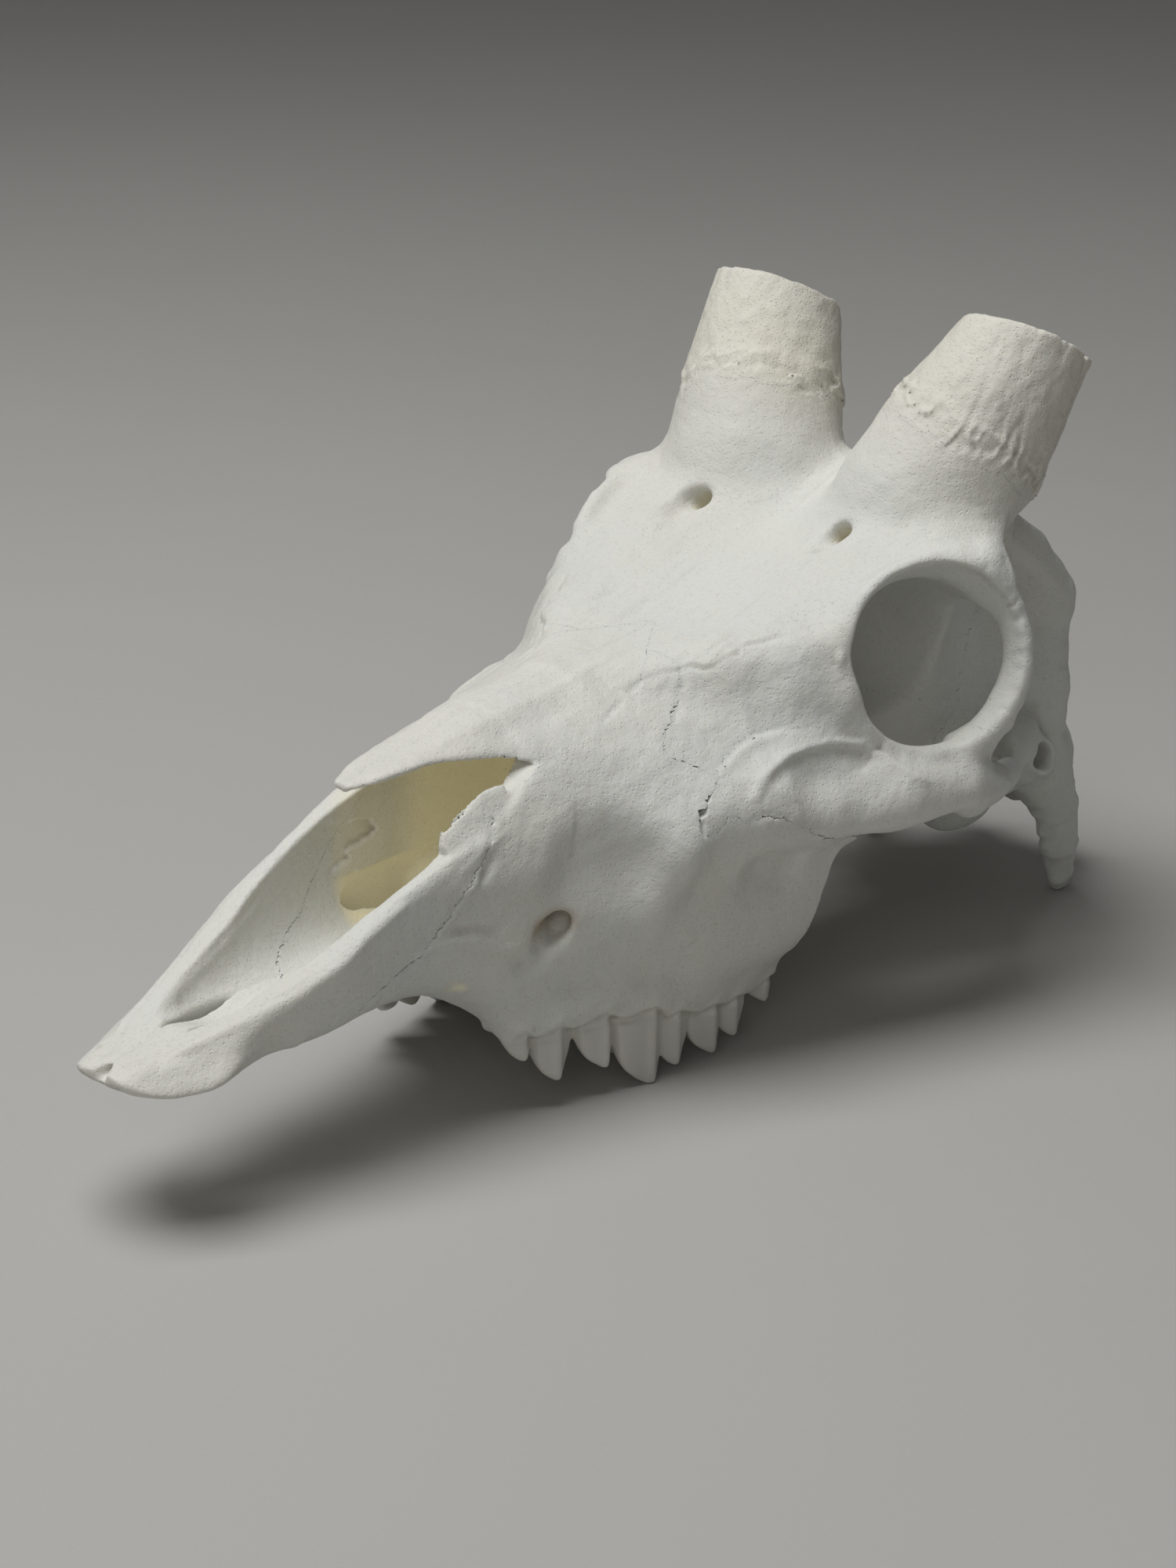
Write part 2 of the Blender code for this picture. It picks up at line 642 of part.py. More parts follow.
def skull_form(step):
    """The whole skull as one form; the second value is the blend width of each step."""
    form = Form((0.5*step, -3, -3), (HALF_WIDTH, REAR+5, HEIGHT), step)
    for shape, blend in ((face(), 2), (middle_mass(), 6), (forehead(), 9), (cheek_bone(), 9),
                         (braincase(), 8)):
        form.add(shape, blend)
    form.cut(forehead_dish(), 3)
    form.add(alveolar_edge(), 5)
    form.add(lobes(), 4)
    form.cut(lobe_notch(), 1.5)
    for shape, blend in ((nuchal_crest(), 8), (temporal_line(), 8), (skull_base(), 6), (horn_foot_web(), 9),
                         (pedicle(), 12), (horn_core(), 3)):
        form.add(shape, blend)
    for shape, blend in ((palate_vault(), 4), (gap_behind_teeth(), 4), (temporal_fossa(), 7)):
        form.cut(shape, blend)
    for shape, blend in ((postorbital_bar(), 5), (orbit_ring(), 4.5), (zygomatic_arch(), 3)):
        form.add(shape, blend)
    for shape, blend in ((orbit_bowl(), 2.5), (orbit_mouth(), 1.5), (gap_behind_bar(), 8),
                         (gap_under_arch(), 4)):
        form.cut(shape, blend)
    form.add(palatine_wing(), 3)
    form.cut(inner_nostril(), 3)
    form.add(condyle(), 4)
    form.cut(great_foramen(), 2.5)
    form.add(ear_bulla(), 3)
    form.add(ear_tube(), 3)
    form.cut(ear_hole(), 1.5)
    form.add(paracondylar_process(), 4)
    form.cut(nasal_cavity(), 1.5)
    form.cut(nasal_opening(), 1.2)
    form.add(nasal_roof(), 1.5)
    form.cut(supraorbital_groove(), 3)
    form.cut(supraorbital_foramen(), 1.2)
    form.cut(infraorbital_foramen(), 2.0)
    form.cut(saw_cut(), 1.0)
    for lobe in CROWN_LOBES:
        form.add(crown_lobe(*lobe), 0.8)
    return form


# Blender objects

def placed(points):
    """Points of the form's frame in metres, with the skull's middle over the origin."""
    points = np.array(points, float)
    return (points-np.array([0, MIDDLE, 0]))*MM


def mesh_of(name, points, faces):
    """Mesh with its faces pointing out."""
    mesh = bpy.data.meshes.new(name)
    mesh.from_pydata([tuple(p) for p in placed(points)], [], [tuple(int(i) for i in f) for f in faces])
    work = bmesh.new()
    work.from_mesh(mesh)
    bmesh.ops.recalc_face_normals(work, faces=work.faces)
    work.to_mesh(mesh)
    work.free()
    return mesh


def add_object(name, mesh):
    """Object in the scene."""
    thing = bpy.data.objects.new(name, mesh)
    bpy.context.scene.collection.objects.link(thing)
    return thing


def add_guide(name, points, faces):
    """Cutting block that isn't part of the skull."""
    guide = add_object(name, mesh_of(name, points, faces))
    guide.hide_render = True
    guide.display_type = "WIRE"
    return guide


def settled_mesh(thing, name):
    """The object's mesh with its modifiers worked in."""
    bpy.context.view_layer.update()
    graph = bpy.context.evaluated_depsgraph_get()
    return bpy.data.meshes.new_from_object(thing.evaluated_get(graph))


def combine(thing, guide, operation):
    """Boolean between an object and a guide."""
    step = thing.modifiers.new(guide.name, "BOOLEAN")
    step.operation = operation
    step.object = guide
    step.solver = "EXACT"


# Cutting blocks: outlines in the side view (s, z) or in plan (x, s)

def moved_outline(outline, distance):
    """Outline with every edge moved out by a distance, or in where it is negative."""
    corners = np.array(outline, float)
    following = np.roll(corners, -1, 0)
    area = np.sum(corners[:, 0]*following[:, 1]-following[:, 0]*corners[:, 1])
    if area < 0:
        corners = corners[::-1]
        following = np.roll(corners, -1, 0)
    way = following-corners
    way = way/np.linalg.norm(way, axis=1)[:, None]
    outward = np.stack([way[:, 1], -way[:, 0]], 1)
    moved = []
    for i in range(len(corners)):
        first = outward[i-1]
        second = outward[i]
        moved.append(corners[i]+distance*(first+second)/(1+first @ second))
    return moved


def prism(name, outline, axis, low, high, distance):
    """Block over an outline, in side view across x or in plan up z."""
    flat = moved_outline(outline, distance)
    count = len(flat)
    points = []
    for level in (low-distance, high+distance):
        for a, b in flat:
            points.append((level, a, b) if axis == "x" else (a, b, level))
    faces = [tuple(range(count)), tuple(range(2*count-1, count-1, -1))]
    for i in range(count):
        j = (i+1) % count
        faces.append((i, j, count+j, count+i))
    return add_guide(name, points, faces)


def meet(first, second):
    """Crossing point of two lines given as (point, direction)."""
    matrix = np.array([first[1], (-second[1][0], -second[1][1])]).T
    share = np.linalg.solve(matrix, np.array(second[0])-np.array(first[0]))[0]
    return (first[0][0]+share*first[1][0], first[0][1]+share*first[1][1])


def along(line, height):
    """Point of a side-view line at a height."""
    return meet(line, ((0, height), (1, 0)))


# Side-view lines of the sutures: (point), (direction)
CORONAL = ((214, 36), (0.348, 1))
LACRIMAL_FRONT = ((126, 50), (0.35, 1))
FRONTAL_LOWER = ((126, 74), (1, -0.12))
CHEEK_LOWER = ((126, 56), (1, -0.25))
PREMAXILLARY = ((35, 10), (1, 1))
NASAL_UNDER = ((50, 64), (98, 68.4), (121, 68.4), (129, 75.4), (170, 80))
NASAL_PLAN = ((0, 50), (16.4, 50), (16.4, 104), (15.6, 122), (14.0, 136), (7, 149), (0, 153))

# Places where the cutting blocks end: heights, places along the skull, half widths
FAR_BELOW = -12
FAR_ABOVE = 170
FAR_SIDE = 90
FAR_FRONT = -20
FAR_BACK = 330
PREMAXILLA_TOP = 63
NASAL_FRONT = 50
NASAL_BACK = 170
MAXILLA_BACK = 178
PALATINE_FRONT = 152
PALATINE_HALF = 15.5
SHELF_BACK = 200
THROAT_BACK = 300
WALL_FRONT = 110
WALL_BACK = 260
HORN_CUT_BELOW_BURR = 2.5
HORN_CUT_RADIUS = 23
HORN_CUT_HEIGHT = 45


def inner_wall(s):
    """Outer side of the middle bone at a place along the skull."""
    return 18+0.17*(s-126)


def cheek_height(s):
    """Height of the cheek's lower suture at a place along the skull."""
    (start, height), (run, rise) = CHEEK_LOWER
    return height+(s-start)*rise/run


def side_frontal():
    """Forehead and orbit roofs in side view."""
    return [along(LACRIMAL_FRONT, FAR_ABOVE), meet(LACRIMAL_FRONT, FRONTAL_LOWER),
            meet(FRONTAL_LOWER, CORONAL), along(CORONAL, FAR_ABOVE)]


def side_braincase():
    """Everything behind the coronal suture in side view."""
    return [along(CORONAL, FAR_ABOVE), along(CORONAL, FAR_BELOW), (FAR_BACK, FAR_BELOW),
            (FAR_BACK, FAR_ABOVE)]


def side_premaxilla():
    """Front end of the snout in side view."""
    return [(FAR_FRONT, FAR_BELOW), along(PREMAXILLARY, FAR_BELOW), along(PREMAXILLARY, PREMAXILLA_TOP),
            (FAR_FRONT, PREMAXILLA_TOP)]


def side_maxilla():
    """Upper jaw in side view."""
    top = along(PREMAXILLARY, PREMAXILLA_TOP)
    return [along(PREMAXILLARY, FAR_BELOW), top, (top[0], FAR_ABOVE), along(LACRIMAL_FRONT, FAR_ABOVE),
            meet(LACRIMAL_FRONT, CHEEK_LOWER), (MAXILLA_BACK, cheek_height(MAXILLA_BACK)),
            (MAXILLA_BACK, FAR_BELOW)]


def side_zygomatic():
    """Cheek bone in side view."""
    return [meet(LACRIMAL_FRONT, CHEEK_LOWER), meet(LACRIMAL_FRONT, FRONTAL_LOWER),
            meet(FRONTAL_LOWER, CORONAL), meet(CORONAL, CHEEK_LOWER)]


def side_middle():
    """Middle bone under the forehead in side view."""
    step = (PALATINE_FRONT, cheek_height(PALATINE_FRONT))
    return [meet(LACRIMAL_FRONT, CHEEK_LOWER), meet(LACRIMAL_FRONT, FRONTAL_LOWER),
            meet(FRONTAL_LOWER, CORONAL), along(CORONAL, FAR_BELOW), (PALATINE_FRONT, FAR_BELOW), step]


def below_cheek(back):
    """Everything under the cheek's lower suture, from the palatine's front end to a place behind."""
    return [(PALATINE_FRONT, FAR_BELOW), (back, FAR_BELOW), (back, cheek_height(back)),
            (PALATINE_FRONT, cheek_height(PALATINE_FRONT))]


def nasal_side():
    """Everything above the underside of the nasal bones."""
    return list(NASAL_UNDER)+[(NASAL_BACK, FAR_ABOVE), (NASAL_FRONT, FAR_ABOVE)]


def plan_outside_wall(sign):
    """Everything outside the middle bone's wall on one side, in plan."""
    return [(sign*inner_wall(WALL_FRONT), WALL_FRONT), (sign*FAR_SIDE, WALL_FRONT),
            (sign*FAR_SIDE, WALL_BACK), (sign*inner_wall(WALL_BACK), WALL_BACK)]


def horn_block(name, side, growth):
    """Cylinder round a horn core, from just under its burr upwards."""
    mirror = np.array([side, 1, 1])
    axis = HORN_AXIS*mirror
    base = (BURR-(HORN_CUT_BELOW_BURR+growth)*HORN_AXIS)*mirror
    across = unit(np.cross(axis, (0, 0, 1)))
    other = np.cross(axis, across)
    count = 32
    points = []
    for height in (0, HORN_CUT_HEIGHT):
        for i in range(count):
            turn = 2*math.pi*i/count
            points.append(base+height*axis+HORN_CUT_RADIUS*(math.cos(turn)*across+math.sin(turn)*other))
    faces = [tuple(range(count)), tuple(range(2*count-1, count-1, -1))]
    for i in range(count):
        j = (i+1) % count
        faces.append((i, j, count+j, count+i))
    return add_guide(name, points, faces)


def bone_material(name, colour):
    """Dry bone of one colour."""
    material = bpy.data.materials.new(name)
    material.use_nodes = True
    shader = material.node_tree.nodes["Principled BSDF"]
    shader.inputs["Base Color"].default_value = (*colour, 1.0)
    shader.inputs["Roughness"].default_value = 0.62
    shader.inputs["Metallic"].default_value = 0.0
    return material


def bone(name, whole, colour, keep, remove=()):
    """One bone: the whole skull inside the keep blocks and outside the remove blocks."""
    thing = add_object(name, whole.copy())
    for guide in keep:
        combine(thing, guide, "INTERSECT")
    for guide in remove:
        combine(thing, guide, "DIFFERENCE")
    thing.data.materials.clear()
    thing.data.materials.append(bone_material(name+"_bone", colour))
    return thing


def whole_skull():
    """Light mesh of the whole skull with flats where it rests on the floor."""
    points, quads = skull_form(GRID).skin()
    raw = add_object("whole", mesh_of("whole", points, quads))
    thin = raw.modifiers.new("thin out", "DECIMATE")
    thin.ratio = TRIANGLES/(2*len(quads))
    thin.use_symmetry = True
    thin.symmetry_axis = "X"
    under_floor = [(FAR_FRONT, FAR_BELOW), (FAR_BACK, FAR_BELOW), (FAR_BACK, 0), (FAR_FRONT, 0)]
    floor = prism("floor", under_floor, "x", -FAR_SIDE, FAR_SIDE, 0)
    combine(raw, floor, "DIFFERENCE")
    mesh = settled_mesh(raw, "whole skull")
    bpy.data.objects.remove(raw)
    return mesh


BONE = (0.70, 0.70, 0.66)
CREAM = (0.70, 0.67, 0.58)
SHELF_CLEARANCE = 0.02


def add_middle_bones(whole, horn_holes, nasal_hole):
    """Braincase, forehead and the bone between the orbits, which lie on the middle plane."""
    near = -GAP/2
    far = GAP/2
    side = prism("side_braincase", side_braincase(), "x", -FAR_SIDE, FAR_SIDE, near)
    bone("braincase", whole, BONE, [side], horn_holes)

    side = prism("side_frontal", side_frontal(), "x", -FAR_SIDE, FAR_SIDE, near)
    bone("frontal", whole, BONE, [side], horn_holes+[nasal_hole])

    side = prism("side_middle", side_middle(), "x", -FAR_SIDE, FAR_SIDE, near)
    wall = [(-inner_wall(WALL_FRONT), WALL_FRONT), (inner_wall(WALL_FRONT), WALL_FRONT),
            (inner_wall(WALL_BACK), WALL_BACK), (-inner_wall(WALL_BACK), WALL_BACK)]
    plan = prism("plan_middle", wall, "z", FAR_BELOW, FAR_ABOVE, near)
    shelves = []
    for word, low, high in (("left", PALATINE_HALF, FAR_SIDE), ("right", -FAR_SIDE, -PALATINE_HALF)):
        shelf = below_cheek(SHELF_BACK)
        shelves.append(prism("shelf_"+word, shelf, "x", low, high, far+SHELF_CLEARANCE))
    bone("palatine_sphenoid", whole, BONE, [side, plan], shelves)


def add_paired_bones(whole, word, sign, nasal_hole, throat):
    """Horn core, nasal, premaxilla, maxilla and cheek bone of one side."""
    near = -GAP/2
    low, high = sorted((0, sign*FAR_SIDE))
    bone("horn_core_"+word, whole, CREAM, [horn_block("horn_block_"+word, sign, 0)])

    side = prism("side_nasal_"+word, nasal_side(), "x", low, high, near)
    half = [(sign*x, s) for x, s in NASAL_PLAN]
    plan = prism("plan_nasal_"+word, half, "z", FAR_BELOW, FAR_ABOVE, near)
    bone("nasal_"+word, whole, BONE, [side, plan])

    side = prism("side_premaxilla_"+word, side_premaxilla(), "x", low, high, near)
    bone("premaxilla_"+word, whole, BONE, [side])

    side = prism("side_maxilla_"+word, side_maxilla(), "x", low, high, near)
    bone("maxilla_"+word, whole, BONE, [side], [nasal_hole, throat])

    side = prism("side_zygomatic_"+word, side_zygomatic(), "x", low, high, near)
    plan = prism("plan_zygomatic_"+word, plan_outside_wall(sign), "z", FAR_BELOW, FAR_ABOVE, near)
    bone("zygomatic_"+word, whole, BONE, [side, plan])


def build_skull():
    """All bones of the skull."""
    whole = whole_skull()
    far = GAP/2
    both = [(-x, s) for x, s in reversed(NASAL_PLAN)]+list(NASAL_PLAN[1:-1])
    nasal_hole = prism("nasal_side_far", nasal_side(), "x", -FAR_SIDE, FAR_SIDE, far)
    combine(nasal_hole, prism("nasal_plan_far", both, "z", FAR_BELOW, FAR_ABOVE, far), "INTERSECT")
    throat = prism("throat", below_cheek(THROAT_BACK), "x", -PALATINE_HALF, PALATINE_HALF, far)
    horn_holes = [horn_block("horn_hole_left", 1, GAP), horn_block("horn_hole_right", -1, GAP)]
    add_middle_bones(whole, horn_holes, nasal_hole)
    for word, sign in (("left", 1), ("right", -1)):
        add_paired_bones(whole, word, sign, nasal_hole, throat)


for old in list(bpy.data.objects):
    bpy.data.objects.remove(old)
build_skull()
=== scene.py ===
"""Looks of the mountain goat skull: every bone with its sutures, openings, rims and grain.

The skull is one form in millimetres, x to the animal's left, s back from the front tip and z
up from the floor. It is worked out as signed distances on a grid, given its fine relief, and
parted into bones along crooked sutures. Each bone replaces the plain solid of the same name.
"""
import json
import math

import bpy
import numpy as np
from mathutils import Matrix, Vector


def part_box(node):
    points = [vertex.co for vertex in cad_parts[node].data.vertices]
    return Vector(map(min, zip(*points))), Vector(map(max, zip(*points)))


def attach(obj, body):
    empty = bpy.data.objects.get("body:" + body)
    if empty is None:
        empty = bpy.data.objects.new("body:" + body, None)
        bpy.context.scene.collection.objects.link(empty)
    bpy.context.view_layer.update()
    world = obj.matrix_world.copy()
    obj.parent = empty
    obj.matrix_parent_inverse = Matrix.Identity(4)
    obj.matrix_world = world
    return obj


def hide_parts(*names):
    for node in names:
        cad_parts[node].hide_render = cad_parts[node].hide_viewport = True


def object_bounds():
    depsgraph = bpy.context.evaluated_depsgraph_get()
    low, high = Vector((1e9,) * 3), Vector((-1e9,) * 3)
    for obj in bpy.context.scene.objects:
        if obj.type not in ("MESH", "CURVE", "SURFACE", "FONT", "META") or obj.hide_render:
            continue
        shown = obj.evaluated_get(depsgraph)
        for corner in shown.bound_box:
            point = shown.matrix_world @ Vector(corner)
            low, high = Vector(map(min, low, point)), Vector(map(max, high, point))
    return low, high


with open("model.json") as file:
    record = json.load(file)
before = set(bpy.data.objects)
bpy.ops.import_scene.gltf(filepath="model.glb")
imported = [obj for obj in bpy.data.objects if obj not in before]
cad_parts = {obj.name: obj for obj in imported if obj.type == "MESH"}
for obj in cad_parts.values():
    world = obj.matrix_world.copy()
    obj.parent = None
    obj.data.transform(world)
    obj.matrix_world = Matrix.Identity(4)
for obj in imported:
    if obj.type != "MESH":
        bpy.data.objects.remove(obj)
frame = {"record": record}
cad_box = [list(corner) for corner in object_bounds()]

# Driving sizes in millimetres: the skull's ends along s, the grid's half width and height, the grid's
# spacing, the width of an open suture, and the value of the empty grid
FRONT = 2.2
REAR = 288.7
HALF_WIDTH = 63.0
HEIGHT = 152.0
STEP = 0.55
SUTURE = 0.17
EMPTY = 20.0
MIDDLE = (FRONT+REAR)/2
MM = 0.001

# Camera of the photograph: place, direction and roll; focal length and picture height in pixels
CAMERA_PLACE = (0.4513, -0.51855, 0.3005)
CAMERA_TURN = math.radians(41.6)
CAMERA_TILT = math.radians(19.96)
CAMERA_ROLL = math.radians(1.26)
FOCAL_PIXELS = 4450
PICTURE_HEIGHT = 2000
SENSOR = 36.0

# Corners of a cell of a grid
CORNERS = [(i, j, k) for i in (0, 1) for j in (0, 1) for k in (0, 1)]

# Orbit: middle of its rim, the way it faces, the way back along it, its radius and its length by height
RIM = np.array([48.6, 187.3, 81.0])
RIM_OUT = np.array([0.89, -0.386, 0.22])
RIM_REARWARD = np.array([0.40, 0.915, 0.0])
RIM_RADIUS = 20.2
RIM_FLATNESS = 1.07

# Left horn core: middle of its burr, its axis, the sawn length above the burr, the saw's normal
BURR = np.array([28.0, 222.4, 116.1])
HORN_AXIS = np.array([0.269, 0.48, 0.835])
STUB_LENGTH = 26.2
SAW_NORMAL = np.array([0.03, 0.47, 0.88])

# Cheek teeth of one side, one row per pointed crown lobe: place along the row, outer side,
# tip height, reach to the front, reach to the back, gum height
CROWN_LOBES = (
    (93.0, 22.4, 11.4, 3.4, 3.2, 15.8),
    (100.0, 25.2, 5.8, 4.2, 5.6, 15.4),
    (111.2, 28.0, 5.8, 5.6, 3.4, 15.8),
    (122.6, 30.6, -0.8, 7.8, 4.2, 14.6),
    (129.6, 31.0, 1.6, 3.4, 5.6, 11.6),
    (140.6, 31.6, 0.8, 5.6, 4.0, 9.8),
    (147.6, 31.4, 2.4, 3.6, 5.6, 9.4),
    (158.6, 30.6, 6.6, 5.2, 4.8, 10.4),
)


def unit(vector):
    """Vector of length one."""
    vector = np.array(vector, float)
    return vector/np.linalg.norm(vector)


def dot(vector, offset):
    """Scalar product of a vector with three coordinates."""
    return sum(vector[k]*offset[k] for k in range(3))


def from_point(point, x, s, z):
    """Coordinates counted from a point."""
    return x-point[0], s-point[1], z-point[2]


def ramp(value, start, end):
    """Smooth rise from 0 to 1 between two values."""
    share = np.clip((value-start)/(end-start), 0, 1)
    return share*share*(3-2*share)


RIM_OUT = unit(RIM_OUT)
RIM_BACK = unit(RIM_REARWARD-RIM_OUT*(RIM_OUT @ RIM_REARWARD))
RIM_UP = np.cross(RIM_OUT, RIM_BACK)
HORN_AXIS = unit(HORN_AXIS)
SAW_NORMAL = unit(SAW_NORMAL)


# Form tools: each shape is a signed distance with the box that it fills

def curve(*knots):
    """Smooth function through (place, value) knots, level past both ends."""
    places, values = np.array(knots, float).T
    slopes = np.gradient(values, places)
    rises = np.diff(values)/np.diff(places)
    for i in range(1, len(places)-1):
        if rises[i-1]*rises[i] <= 0:
            slopes[i] = 0.0
    slopes[0] = rises[0]
    slopes[-1] = rises[-1]

    def value(place):
        place = np.clip(place, places[0], places[-1])
        i = np.clip(np.searchsorted(places, place, side="right")-1, 0, len(places)-2)
        span = places[i+1]-places[i]
        u = (place-places[i])/span
        return ((1+2*u)*(1-u)**2*values[i]+u*(1-u)**2*span*slopes[i]
                + u*u*(3-2*u)*values[i+1]-u*u*(1-u)*span*slopes[i+1])
    return value


def smooth_min(a, b, blend):
    """The lower of two distances, rounded over a blend width."""
    h = np.clip(0.5+0.5*(b-a)/blend, 0.0, 1.0)
    return b+(a-b)*h-blend*h*(1.0-h)


def smooth_max(a, b, blend):
    """The higher of two distances, rounded over a blend width."""
    return -smooth_min(-a, -b, blend)


def rounded_block(centre, axes, radii, power=2.0):
    """Superellipsoid along three axes."""
    centre = np.array(centre, float)
    axes = np.array([unit(axis) for axis in axes])
    radii = np.array(radii, float)
    reach = np.abs(axes.T) @ radii

    def distance(x, s, z):
        offset = from_point(centre, x, s, z)
        q = [np.abs(dot(axis, offset))/r for axis, r in zip(axes, radii)]
        level = (sum(v**power for v in q)+1e-12)**(1/power)
        slope = np.sqrt(sum((v**(power-1)/r)**2 for v, r in zip(q, radii)))*(level+1e-9)**(1-power)
        return (level-1.0)/np.maximum(slope, 1/radii.max())
    return distance, centre-reach, centre+reach


def limb(points, radii, flat=1.0, across=(1, 0, 0)):
    """Chain of round cones through points; flat under 1 thins it along the vector across."""
    points = np.array(points, float)
    radii = np.broadcast_to(np.array(radii, float), (len(points),))
    across = unit(across)

    def distance(x, s, z):
        best = np.inf
        for a, b, start, end in zip(points[:-1], points[1:], radii[:-1], radii[1:]):
            along = b-a
            offset = from_point(a, x, s, z)
            t = np.clip(dot(along, offset)/(along @ along), 0, 1)
            rest = [offset[k]-t*along[k] for k in range(3)]
            side = dot(across, rest)
            square = dot(rest, rest)+side*side*(1/flat**2-1)
            best = np.minimum(best, (np.sqrt(square)-start-t*(end-start))*0.5*(1+flat))
        return best
    return distance, points.min(0)-radii.max(), points.max(0)+radii.max()


def loft(start, end, width, top, level, bottom, upper=2.0, lower=2.0):
    """Body along s whose sections are two half superellipses met at a level."""
    given = (width, top, level, bottom, upper, lower)
    laws = [law if callable(law) else (lambda s, law=law: law+0*s) for law in given]
    stations = np.linspace(start, end, 60)
    widest = laws[0](stations).max()
    low = np.array([-widest, start, laws[3](stations).min()])
    high = np.array([widest, end, laws[1](stations).max()])

    def distance(x, s, z):
        w, t, m, b, n_up, n_down = [law(s) for law in laws]
        rise = z-m
        h = np.where(rise > 0, t-m, m-b)
        n = np.where(rise > 0, n_up, n_down)
        a = np.abs(x)/w
        c = np.abs(rise)/h
        q = (a**n+c**n+1e-12)**(1/n)
        slope = np.sqrt((a**(n-1)/w)**2+(c**(n-1)/h)**2)*q**(1-n)+1e-9
        body = (q-1)/np.maximum(slope, 1/np.maximum(w, h))
        return np.maximum(body, np.maximum(start-s, s-end))
    return distance, low, high


class Form:
    """Grid of signed distances, over the animal's left half or over both."""

    def __init__(self, low, high, step):
        self.step = step
        self.low = np.array(low, float)
        counts = [int(math.ceil((h-l)/step))+1 for l, h in zip(low, high)]
        self.axes = [(self.low[k]+step*np.arange(counts[k])).astype(np.float32) for k in range(3)]
        self.values = np.full(counts, EMPTY, np.float32)

    def both_sides(self):
        """The same form with its mirror image joined on."""
        whole = Form(self.low, self.low, self.step)
        whole.axes = [np.concatenate([-self.axes[0][::-1], self.axes[0]])]+self.axes[1:]
        whole.low = np.array([axis[0] for axis in whole.axes], float)
        whole.values = np.concatenate([self.values[::-1], self.values], 0)
        return whole

    def near(self, low, high, blend):
        """Window that is wide enough to blend a shape in."""
        return self.window(low, high, blend+2.5*self.step)

    def window(self, low, high, margin):
        """Slices of the grid near a box, with their coordinates."""
        slices = []
        for k in range(3):
            first = np.searchsorted(self.axes[k], low[k]-margin)
            last = np.searchsorted(self.axes[k], high[k]+margin)
            slices.append(slice(first, max(last, first+1)))
        x, s, z = [self.axes[k][slices[k]] for k in range(3)]
        return tuple(slices), x[:, None, None], s[None, :, None], z[None, None, :]

    def add(self, shape, blend):
        """Join a shape with a rounded inner corner."""
        distance, low, high = shape
        near, x, s, z = self.near(low, high, blend)
        self.values[near] = smooth_min(self.values[near], distance(x, s, z), blend)

    def cut(self, shape, blend):
        """Take a shape away with a rounded edge."""
        distance, low, high = shape
        near, x, s, z = self.near(low, high, blend)
        self.values[near] = smooth_max(self.values[near], -distance(x, s, z), blend)

    def on_skin(self, points):
        """Places moved onto the surface, after more are put between them."""
        spacing = 3.0
        rounds = 10
        chain = [np.array(points[0], float)]
        for start, end in zip(points[:-1], points[1:]):
            start = np.array(start, float)
            end = np.array(end, float)
            count = max(1, int(round(np.linalg.norm(end-start)/spacing)))
            chain += [start+(end-start)*(i+1)/count for i in range(count)]
        chain = np.array(chain)
        for attempt in range(rounds):
            chain = moved_onto(chain, self.values, self.low, self.step)
        return chain

    def relief(self, points, height, width):
        """Raise the surface along a line, or sink it where the height is negative."""
        chain = self.on_skin(points)
        lengths = np.linalg.norm(np.diff(chain, axis=0), axis=1)
        travelled = np.concatenate([[0], np.cumsum(lengths)])
        reach = 2.5*width
        near, x, s, z = self.window(chain.min(0), chain.max(0), reach)
        square, place = nearest_on(chain, travelled, reach, x, s, z)
        fade = min(3*width, 0.35*travelled[-1])
        ends = ramp(np.minimum(place, travelled[-1]-place), 0, fade)
        self.values[near] -= height*ends*np.exp(-square/width**2)

    def patch(self, low, high):
        """Copy of the values in a box, with its lowest corner and its coordinates."""
        near, x, s, z = self.window(low, high, 0)
        return self.values[near].copy(), np.array([x[0, 0, 0], s[0, 0, 0], z[0, 0, 0]], float), x, s, z

    def patch_of(self, values, low, high):
        """The same part of another array of the grid."""
        return values[self.window(low, high, 0)[0]]


def nearest_on(chain, travelled, reach, x, s, z):
    """Squared distance to a chain at each place of a window, and how far along it the nearest point is."""
    shape = (len(x), s.shape[1], z.shape[2])
    square = np.full(shape, reach*reach, np.float32)
    place = np.zeros(shape, np.float32)
    axes = (x[:, 0, 0], s[0, :, 0], z[0, 0, :])
    for start, end, before, after in zip(chain[:-1], chain[1:], travelled[:-1], travelled[1:]):
        along = end-start
        part = []
        for k in range(3):
            low, high = sorted((start[k], end[k]))
            first = np.searchsorted(axes[k], low-reach)
            part.append(slice(first, np.searchsorted(axes[k], high+reach)))
        part = tuple(part)
        offset = from_point(start, x[part[0]], s[:, part[1]], z[:, :, part[2]])
        t = np.clip(dot(along, offset)/(along @ along+1e-9), 0, 1)
        apart = sum((offset[k]-t*along[k])**2 for k in range(3))
        closer = apart < square[part]
        square[part] = np.where(closer, apart, square[part])
        place[part] = np.where(closer, before+t*(after-before), place[part])
    return square, place


# Snout

